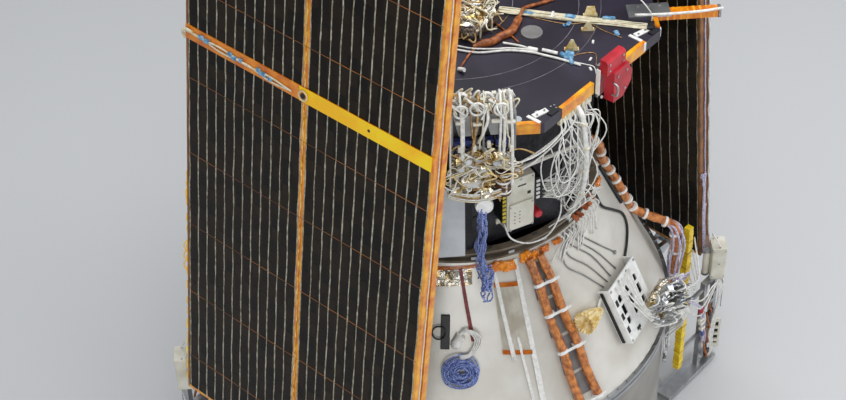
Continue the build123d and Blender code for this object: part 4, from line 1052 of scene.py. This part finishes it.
for high, low in ((1205, 1090), (1080, 960), (950, 830), (820, 745)):
    z = (high + low) / 2
    share = (twin_top - z) / (twin_top - twin_foot)
    x = ((twin_ends[0][0] + twin_ends[1][0])
        + (twin_ends[0][1] - twin_ends[0][0] + twin_ends[1][1] - twin_ends[1][0]) * share) / 2
    azimuth = math.degrees(math.atan2(-math.sqrt(cone_r(z) ** 2 - x ** 2), x))
    slab((2, 56 + 30 * share, (high - low) * 1.1), cone_place(azimuth, z, 2))
make_piece("harness_tray", grey_plate)

for number in range(6):
    start = side_points[5].lerp(side_points[6], 0.2 * number)
    shift = mm(6 * math.cos(number), 6 * math.sin(number), 0)
    tube([start + shift, side_points[6] + shift * 3, side_points[7] + shift * 4 + mm(6, -8, 0),
        side_points[8] + shift * 4, side_points[9] + shift * 2], 4.2, 6)
make_piece("harness_branches", pale_braid, slot="white_cable")


# Tubes on the cone: five thin grey tubes and a dark cable that run from the ring down to the slotted
# bracket, clipped to the sheet on the way, and a black slab of painted shadow beside the side harness.
def cone_route(route, rise):
    """Points over the cone from pairs of azimuth and height."""
    return [cone_point(azimuth, z, rise) for azimuth, z in route]


for route in (((-84, 1246), (-85.9, 1210), (-79, 1130), (-71.9, 1048)),
        ((-89, 1246), (-92.2, 1207), (-84.1, 1116), (-79.5, 1010)),
        ((-87, 1246), (-88.6, 1205), (-80.5, 1105), (-75.5, 1010)),
        ((-93, 1246), (-97.1, 1157), (-90.8, 1086), (-84.5, 1002)),
        ((-90.5, 1246), (-94.6, 1180), (-87.5, 1100), (-82, 1006))):
    tube(cone_route(route, 3), 2.4, 6)
slab((7, 14, 10), cone_place(-71.9, 1046, 3), 1.5)
make_piece("bracket_tubes", grey_plate)
tube(cone_route(((-66, 1238), (-65.8, 1189), (-59.1, 1123), (-53.6, 1060), (-55.5, 1024), (-62.3, 1010),
    (-68, 998)), 5), 4.6, 8)
# A black slab on the cone beside the side harness: painted shadow standing for the dark band of shade there,
# not a cable.
slab((10, 16, 190), cone_place(-48.5, 1150, 6), 3)
make_piece("dark_cone_cable_and_shadow_slab", black_block)


# Cone seams and covers: riveted laps where the sheets meet, and two round blank covers on the back.
def cone_patch(corners, rise, steps=14):
    """A sheet that lies on the cone between four corners given as azimuth and height."""
    (a0, z0), (a1, z1), (a2, z2), (a3, z3) = corners
    grid = []
    for row in range(steps + 1):
        down = row / steps
        line = []
        for column in range(steps + 1):
            over = column / steps
            azimuth = (a0 + (a1 - a0) * over) * (1 - down) + (a3 + (a2 - a3) * over) * down
            z = (z0 + (z1 - z0) * over) * (1 - down) + (z3 + (z2 - z3) * over) * down
            lift = rise + 1.4 * noise.noise(mm(azimuth * 900, z * 30, 0))
            line.append(bm.verts.new(cone_point(azimuth, z, lift)))
        grid.append(line)
    for upper, lower in zip(grid, grid[1:]):
        for column in range(steps):
            bm.faces.new((upper[column], upper[column + 1], lower[column + 1], lower[column]))


half = 1.5
seam_azimuths, cover_azimuths = (4, 48, 92, 136, 176), (70, 114)
for azimuth in seam_azimuths:
    cone_patch(((azimuth - half, 1236), (azimuth + half, 1236), (azimuth + half, 704), (azimuth - half, 704)),
        1.5)
thicken(0.0014)
closed()
for azimuth in cover_azimuths:
    drum(62, 7, cone_place(azimuth, 960, -1) @ lay_x, 32)
    slab((8, 90, 60), cone_place(azimuth + 3, 800, 0), 1)
make_piece("cone_lap_seams", cone_paint)
for azimuth in seam_azimuths:
    for row in range(17):
        for shift in (-1, 1):
            drum(3, 1.8, cone_place(azimuth + shift, 720 + 30 * row, 2.4) @ lay_x, 6)
for azimuth in cover_azimuths:
    for count in range(8):
        turn = math.pi * count / 4
        drum(3.6, 3, cone_place(azimuth, 960, 5) @ at(0, 52 * math.cos(turn), 52 * math.sin(turn)) @ lay_x, 6)
make_piece("cone_rivets", bolt_steel)


# Blanket panel on the cone: beige cloth with taped edges, and a band of silver foil under the ring.
beige_blanket = finish("beige_blanket_cloth", "#DDD7C9", 0.6, 0, ("#D2CBBA", "#E8E3D7", 14),
    (40, 0.3, 0.001, 4.0), "pale_panel")
cone_patch(((-126.4, 1180), (-117.6, 1168), (-117.0, 950), (-125.7, 968)), 3.2)
thicken(0.0015)
closed()
make_piece("cone_blanket_panel", beige_blanket)
for a0, a1, z0, z1 in ((-126.4, -117.4, 1183, 1171), (-126, -116.6, 972, 950)):
    cone_patch(((a0, z0), (a1, z1), (a1, z1 - 14), (a0, z0 - 14)), 5, 8)
cone_patch(((-149, 1240), (-131, 1246), (-131, 1236), (-149, 1228)), 3, 8)
thicken(0.001)
closed()
make_piece("blanket_edge_tape", amber)
cone_patch(((-151, 1228), (-134, 1236), (-134, 1186), (-151, 1176)), 3, 10)
thicken(0.002)
ruffle(60, 0.003)
make_piece("silver_cone_band", foil)


# Straps down the cone: woven white webbing in three lengths and one dark red, each a little askew,
# with a stitched end.
dark_red_webbing = finish("dark_red_webbing_strap", "#7C2A2C", 0.55, 0, ("#6A2022", "#8E3A3A", 120),
    slot="red_guard")
for name, material, slot, straps in (("white_cone_straps", webbing, "white_paint",
        ((-125.7, 1236, -122.6, 930, 13), (-116.8, 1240, -116.2, 770, 17), (-153, 1236, -150, 900, 14),
        (-120.5, 1000, -118.5, 745, 10))),
        ("red_cone_strap", dark_red_webbing, "red_guard", ((-138.3, 1236, -134.7, 1010, 12),))):
    for a0, z0, a1, z1, width in straps:
        half = math.degrees(width / 2 / cone_r((z0 + z1) / 2))
        cone_patch(((a0 - half, z0), (a0 + half, z0), (a1 + half, z1), (a1 - half, z1)), 3.5, 16)
        drum(6, 4, cone_place(a1, z1 + 8, 4) @ lay_x, 12)
    thicken(0.0018, 4)
    closed()
    make_piece(name, material, *(("cone_straps",) if slot == "white_paint" else ()), slot=slot)


# Test leads coiled on the left of the cone: a hank of blue braided cord on a peg, a white capped
# plug with its own loops, and the blue rope that comes down to it from the tower.
blue_braid = finish("blue_braided_cord", "#5068B4", 0.5, 0, ("#33478C", "#98A8DC", 220, 0.38, 0.62),
    (600, 0.5, 0.0008), "blue_connector")
hank = cone_place(-138.5, 924, 14)
random.seed(8)
for number in range(24):
    reach = random.uniform(18, 64)
    tilt = random.uniform(-0.3, 0.2)
    across, up = random.uniform(-8, 8), random.uniform(-8, 8)
    points = [hank @ mm(7 * math.sin(2 * angle + number) + 14 * number / 24, across + reach * math.cos(angle),
        up + reach * math.sin(angle) * (0.9 + tilt)) for angle in turns(12)]
    tube(points, 2.9, 6, 3)
rope = [tower @ mm(104, -2, 1702), tower @ mm(100, -8, 1650), mm(-452, -486, 1560), mm(-424, -456, 1450),
    mm(-398, -440, 1350), mm(-382, -438, 1270), mm(-374, -440, 1215)]
for number in range(16):
    strand = [point + mm(*(random.uniform(-14, 14) for axis in range(3))) for point in rope]
    tube(strand[:random.randint(5, 7)], 2.8, 6, 5)
for number in range(10):
    middle = mm(-374, -446, random.uniform(1180, 1300))
    reach = random.uniform(14, 30)
    start = random.uniform(0, 6.28)
    points = [middle + mm(reach * math.cos(angle + start), 8 * math.sin(3 * angle),
        1.5 * reach * math.sin(angle + start)) for angle in turns(10)[:9]]
    tube(points, 2.6, 6, 3)
make_piece("blue_cord_hank", blue_braid)

plug = cone_place(-140.2, 1008, 10)
drum(17, 34, plug @ spin(math.radians(-30), "X"), 20)
bmesh.ops.create_uvsphere(bm, u_segments=20, v_segments=12, radius=0.018, matrix=plug)
for number in range(4):
    tube([(4, 8, 30), (14, 30 + 6 * number, 52), (12, 62 + 7 * number, 20), (8, 44 + 5 * number, -30),
        (6, 10, -40 - 6 * number)], 2.6, 6, place=plug)
make_piece("white_capped_plug", jacket)
slab((6, 30, 120), cone_place(-143.6, 1040, 4), 2)
points = [cone_place(-145.6, 1044, 14) @ mm(0, 22 * math.cos(angle), 22 * math.sin(angle))
    for angle in turns(12)]
tube(points, 3, 6, 3)
make_piece("hank_bracket", black_block)


# Slotted bracket and the valve cluster bolted to it: dark pads behind the slots, painted shadow as a black
# strip down its side, cap screws, steel pipes bent round the valve bodies, and crushed foil over the whole
# group.
slot_azimuth, slot_z = -78.2, 905
bracket_at = cone_place(slot_azimuth, slot_z)
for y in (-58, 0, 58):
    slab((6, 34, 134), bracket_at @ at(22, y, 6))
for y, z, width, high in ((-84, -62, 14, 24), (-84, -6, 14, 24), (-84, 50, 14, 24), (-30, -94, 24, 12)):
    slab((1.6, width, high), bracket_at @ at(37.2, y, z), 0.4)
# A black strip along the bracket's side wall: painted shadow, standing for the shade down that side.
slab((12, 5, 214), bracket_at @ at(6, -101, 0), 1)
make_piece("bracket_dark_pads_and_shadow_strip", black_block)
for y in (-58, 0, 58):
    for z in (-20, 32):
        slab((4, 30, 13), bracket_at @ at(34.6, y, z), 0.8)
make_piece("bracket_cross_bars", white_paint)
for y in (-90, -29, 29, 90):
    for z in (-104, 104):
        if (y, z) != (90, -104) and (y, z) != (29, -104):
            drum(4.5, 4, bracket_at @ at(36.4, y, z) @ lay_x, 6)
make_piece("bracket_screws", bolt_steel)

cluster_at = bracket_at @ at(62.8, 106, -90)
crumple((46, 142, 104), cluster_at, 7, 9, 34, 16)
crumple((40, 60, 50), cluster_at @ at(18, 20, -26), 6, 6, 50, 10)
make_piece("valve_foil", foil, "valve_cluster")
for y, z, radius, length in ((-50, 26, 13, 44), (-20, 30, 10, 40), (14, 34, 14, 38), (48, 22, 11, 46),
        (-42, -22, 10, 40), (54, -30, 12, 42), (-84, 34, 10, 18), (-96, -6, 9, 16), (-78, -34, 8, 18)):
    valve = cluster_at @ at(16, y, z) @ spin(math.radians(70), "Y")
    drum(radius, length, valve, 16)
    drum(radius + 2.5, 6, valve @ at(0, 0, length - 8), 6)
make_piece("valve_bodies", bolt_steel)
steel_pipes = bmesh.new()
random.seed(17)
for number in range(34):
    y, z = random.uniform(-120, 60), random.uniform(-50, 56)
    tube([(18, y, z), (50 + 2 * number, y + 10, z + 16),
        (54, y + random.uniform(20, 50), z + random.uniform(-30, 30)),
        (22, y + random.uniform(30, 60), z - 20)], 3.4, 7, bm=steel_pipes if number % 3 else bm,
        place=cluster_at)
for number in range(5):
    tube([cluster_at @ mm(14, -64, -20 + 14 * number), cluster_at @ mm(30, -92, -26 + 16 * number),
        cluster_at @ mm(20, -116, 4 + 16 * number), bracket_at @ mm(40, -60 + 26 * number, 100)], 3, 6)
make_piece("valve_pipes", jacket)
make_piece("valve_steel_pipes", bolt_steel, bm=steel_pipes)
for number in range(9):
    start = cluster_at @ mm(20 + 3 * number % 17, 30 + 5 * number, -46)
    foot = polar(764 + 5 * (number % 3), -63.5 + 1.35 * number, 600 - 30 * (number % 2))
    tube([start, start + mm(16, -26, -50), start.lerp(foot, 0.55) + mm(20 - 6 * number, -34, 0), foot,
        foot + mm(0, 0, -90)], 2.8 + 0.6 * (number % 3), 6)
for number in range(4):
    start = cluster_at @ mm(30, 60, 10 * number - 20)
    end = mm(640 - 4 * number, -582, 800 - 60 * number)
    tube([start, start + mm(40, -20, 20 - 8 * number), start.lerp(end, 0.5) + mm(10, -50, -30), end], 2.8, 6)
make_piece("valve_leads", jacket)
for number in range(3):
    slab((14, 150, 16), off_side(-58, 757 + 7, 0, 590 - 60 * number) @ spin(0.04, "X"), 2)
make_piece("skirt_lead_clamps", bolt_steel)
for number in range(5):
    start = cluster_at @ mm(24, 20 + 12 * number, 30)
    tube([start, start + mm(20, -20, 20), start + mm(50 + 9 * number, -14, -10),
        start + mm(60 + 9 * number, 10, -70)], 3, 6)
make_piece("valve_blue_leads", pale_braid, slot="white_cable")


# Pleated shield: a gathered bell of gold film with eighteen pleats, open at its wide end, and a cream
# ring round its small end.
narrow, wide_end = cone_point(-90.5, 967, 16.3), cone_point(-99.8, 985, 40)
axis = (wide_end - narrow).to_track_quat("Z", "Y").to_matrix().to_4x4()
bell = Matrix.Translation(narrow) @ axis
length = (wide_end - narrow).length
rings = []
for reach, share in ((12, 0.0), (19, 0.2), (27, 0.42), (34, 0.66), (39, 0.88), (41, 1.0), (30, 0.94), (8, 0.8)):
    loop = []
    for count in range(36):
        turn = math.pi * count / 18
        out = reach / 1000 * (1.0 if count % 2 else 0.8)
        loop.append(bm.verts.new(bell @ Vector((out * math.cos(turn), out * math.sin(turn), share * length))))
    rings.append(loop)
for first, second in zip(rings, rings[1:]):
    for count in range(36):
        bm.faces.new((first[count], first[(count + 1) % 36], second[(count + 1) % 36], second[count]))
bm.faces.new(reversed(rings[0]))
bm.faces.new(rings[-1])
closed()
make_piece("shield_pleats", gold_sheet, "pleated_shield")
small = cone_point(-90.2, 984, 14)
points = [small + mm(3 * math.cos(angle), 6 * math.sin(angle) - 2, 17 * math.cos(angle))
    + mm(14 * math.sin(angle), 0, 0) for angle in turns(14)]
tube(points, 3.4, 7, 2)
make_piece("shield_collar", cream_paint)


# Wrapped conduits: turns of yellow tape over a square duct, some lapped thicker, with dark bands and
# a clamp where the upper length is set back from the lower one.
dark_band = finish("dark_yellow_lap", "#A88A08", 0.4, 0, ("#8F7406", "#BE9E12", 40), slot="yellow_wrap")
for number in (0, 1):
    place = spin(math.pi * number)
    random.seed(31 + number)
    for low, high, x in ((122, 486, 628.1), (494, 856, 616.1)):
        z = low
        while z < high - 14:
            step = random.uniform(9, 17)
            grow = random.uniform(0.6, 2.4)
            slab((24 + 2 * grow, 24 + 2 * grow, step * 0.8),
                place @ at(x, -570, z + step / 2) @ spin(random.uniform(-0.06, 0.06), "Y"), 0.8)
            z += step
    make_piece(f"conduit_turns_{number}", yellow_tape)
    for z, x in ((150, 628.1), (214, 628.1), (290, 628.1), (352, 628.1), (430, 628.1), (560, 616.1),
            (602, 616.1), (668, 616.1), (742, 616.1), (800, 616.1)):
        slab((29.5, 29.5, 3.5), place @ at(x, -570, z), 0.6)
    make_piece(f"conduit_bands_{number}", dark_band)
    slab((40, 32, 22), place @ at(622, -570, 490), 2)
    make_piece(f"conduit_clamp_{number}", bolt_steel)


# Hinge drive hardware: the wire loop over the drive box, its thin rod, rows of screws, the can's caps,
# dark windows in the slotted tag, and the leads that run down the post frame.
for number in (0, 1):
    place = spin(math.pi * number)
    drive = place @ at(838.1, -570, 470) @ spin(math.radians(-135))
    for y, z in ((-22, 12), (22, 12), (-22, 138), (22, 138), (0, 75)):
        drum(3.2, 2, drive @ at(36, y, z) @ lay_x, 8)
    for x in (-28, 28):
        drum(3.2, 2, drive @ at(x, 0, 150), 8)
    drum(15, 8, drive @ at(0, -41.3, 112), 18)
    drum(15, 10, drive @ at(0, -41.3, -2), 18)
    for y in (-576, -564):
        for z in (60, 200, 340, 460):
            drum(4, 3, place @ at(765.1, y - 4, z) @ lay_y, 6)
    tube([(30, 20, 0), (34, 24, -60), (34, 24, -150)], 2, 6, place=drive)
    make_piece(f"drive_hardware_{number}", bolt_steel)
    tube([(-26, -12, 150), (-24, -20, 178), (-2, -22, 192), (22, -12, 182), (26, 4, 152)], 3, 7, place=drive)
    for count in range(5):
        x = 812 + 8 * count
        tube([(x, -596, 466), (x - 6, -612, 420), (x + 10 - 7 * count, -600, 330), (x + 4, -588, 220),
            (x - 4, -586, 120), (x + 6, -590, 40)], 2.8, 6, place=place)
    for count in range(3):
        tube([(640, -584, 480 - 30 * count), (690, -612, 460 - 40 * count), (760, -606, 470 - 26 * count),
            (806, -600, 462)], 3, 6, place=place)
    make_piece(f"drive_leads_{number}", jacket)
    for z, wide, high in ((-52, 30, 12), (-22, 30, 22), (12, 30, 22), (48, 30, 26)):
        slab((5, wide + 3, high + 3), place @ at(866.1, -575, 124 + z) @ spin(math.radians(-135))
            @ at(-6.6, 0, 0), 0.6)
    for z in (80, 300, 420):
        slab((30, 10, 26), place @ at(800, -590, z), 2)
    make_piece(f"tag_windows_{number}", black_block)
    random.seed(41 + number)
    for count in range(4):
        z = 150 + 80 * count
        tube([(780, -584, z), (770, -600, z - 30), (782, -604, z - 70), (792, -586, z - 90)], 4.5, 7, 5, 1,
            place=place)
    make_piece(f"frame_wraps_{number}", brown_wrap)
    route = [(640, -584, 474), (676, -604, 440), (700, -606, 390), (714, -604, 310), (734, -602, 246),
        (752, -594, 196), (764, -584, 160)]
    tube([place @ mm(*point) for point in route], 5.2, 8, 5, 1)
    tube([place @ mm(x + 10, y - 6, z - 8) for x, y, z in route[1:]], 3, 6)
    make_piece(f"drive_braid_{number}", pale_braid)
    for x, z in ((706, 340), (714, 318), (720, 286)):
        slab((26, 16, 12), place @ at(x, -606, z), 2)
    make_piece(f"drive_plugs_{number}", box_paint)
    drum(10, 24, place @ at(700, -606, 388), 14)
    make_piece(f"drive_red_plug_{number}", red_paint)
    slab((16, 14, 30), place @ at(733, -602, 246) @ spin(-0.3, "Y"), 3)
    make_piece(f"drive_blue_plug_{number}", blue_shell)


# Other boxes round the wall: connectors along their upper edge, blank plates, cover screws, and the
# white harness from each one up to the deck.
for index, (azimuth, along, width, depth, low,
        high) in enumerate(((22.5, 0, 200, 70, 1390, 1690), (67.5, 10, 220, 90, 1330, 1590),
        (157.5, -10, 240, 60, 1370, 1590))):
    out = wall_out + 0.3 + depth
    for sign in (-1, 1):
        for z in (low + 30, (low + high) / 2, high - 14):
            drum(3.6, 2.4, off_side(azimuth, out, along + sign * (width / 2 - 12), z) @ lay_x, 8)
    count = int(width / 44)
    sockets = [along - width / 2 + (number + 0.5) * width / count for number in range(count)]
    for y in sockets:
        drum(11, 12, off_side(azimuth, wall_out + 0.3 + depth / 2, y, high), 16)
    make_piece(f"side_box_hardware_{index}", bolt_steel)
    slab((1.2, 70, 40), off_side(azimuth, out + 0.4, along - 20, high - 60), 0.4)
    for z in (low + 70, low + 100):
        slab((2.5, width - 46, 4), off_side(azimuth, out, along, z), 0.8)
    make_piece(f"side_box_plate_{index}", pale_panel)
    for number, y in enumerate(sockets):
        tube([off_side(azimuth, r, s, z).translation for r, s, z in ((wall_out + depth / 2, y, high + 10),
            (wall_out + 5 + depth / 2, y, high + 60), (490, along + 6 * (number - 2), high + 130),
            (500, along + 4 * (number - 2), 1800), (505, along + 5 * (number - 2), 1906))], 4.5, 7)
    make_piece(f"side_box_harness_{index}", jacket)


# Hold-down and hinge finish: cap screws in the deck brackets, nuts on the clevis pins of the root
# hinges, and bolts through the root pads into the skirt.
pad_out = math.sqrt(cone_foot_r ** 2 - 282 ** 2)
for number in (0, 1):
    place = spin(math.pi * number)
    for y in (-120, 0, 120):
        for shift in (-20, 20):
            drum(4.5, 5, place @ at(560, y + shift, 1951), 6)
    for y in (-330, 330):
        for ear in (-1, 1):
            drum(9, 8, place @ at(839.3, y + ear * 30.2, 497.3) @ spin(-ear * math.pi / 2, "X"), 6)
        for shift in (-34, 34):
            for z in (415, 550):
                drum(7, 6, place @ at(pad_out, y + shift, z) @ lay_x, 6)
make_piece("hold_down_screws", bolt_steel)

outriggers = ((-45, -112), (135, -112))
for azimuth, offset in outriggers:
    for x in (-52, -18, 16):
        for y in (-24, 24):
            drum(4.5, 4, off_side(azimuth, 627 + x, offset + y, 1950), 6)
    slab((10, 30, 34), off_side(azimuth, 627.3 + 204, offset, 1930), 2)
make_piece("outrigger_screws", bolt_steel)
for azimuth, offset in outriggers:
    for number in range(9):
        slab((9, 27.6, 31.6), off_side(azimuth, 644 + 21 * number, offset, 1930) @ spin(0.08), 1)
make_piece("outrigger_wraps", bright_tape)
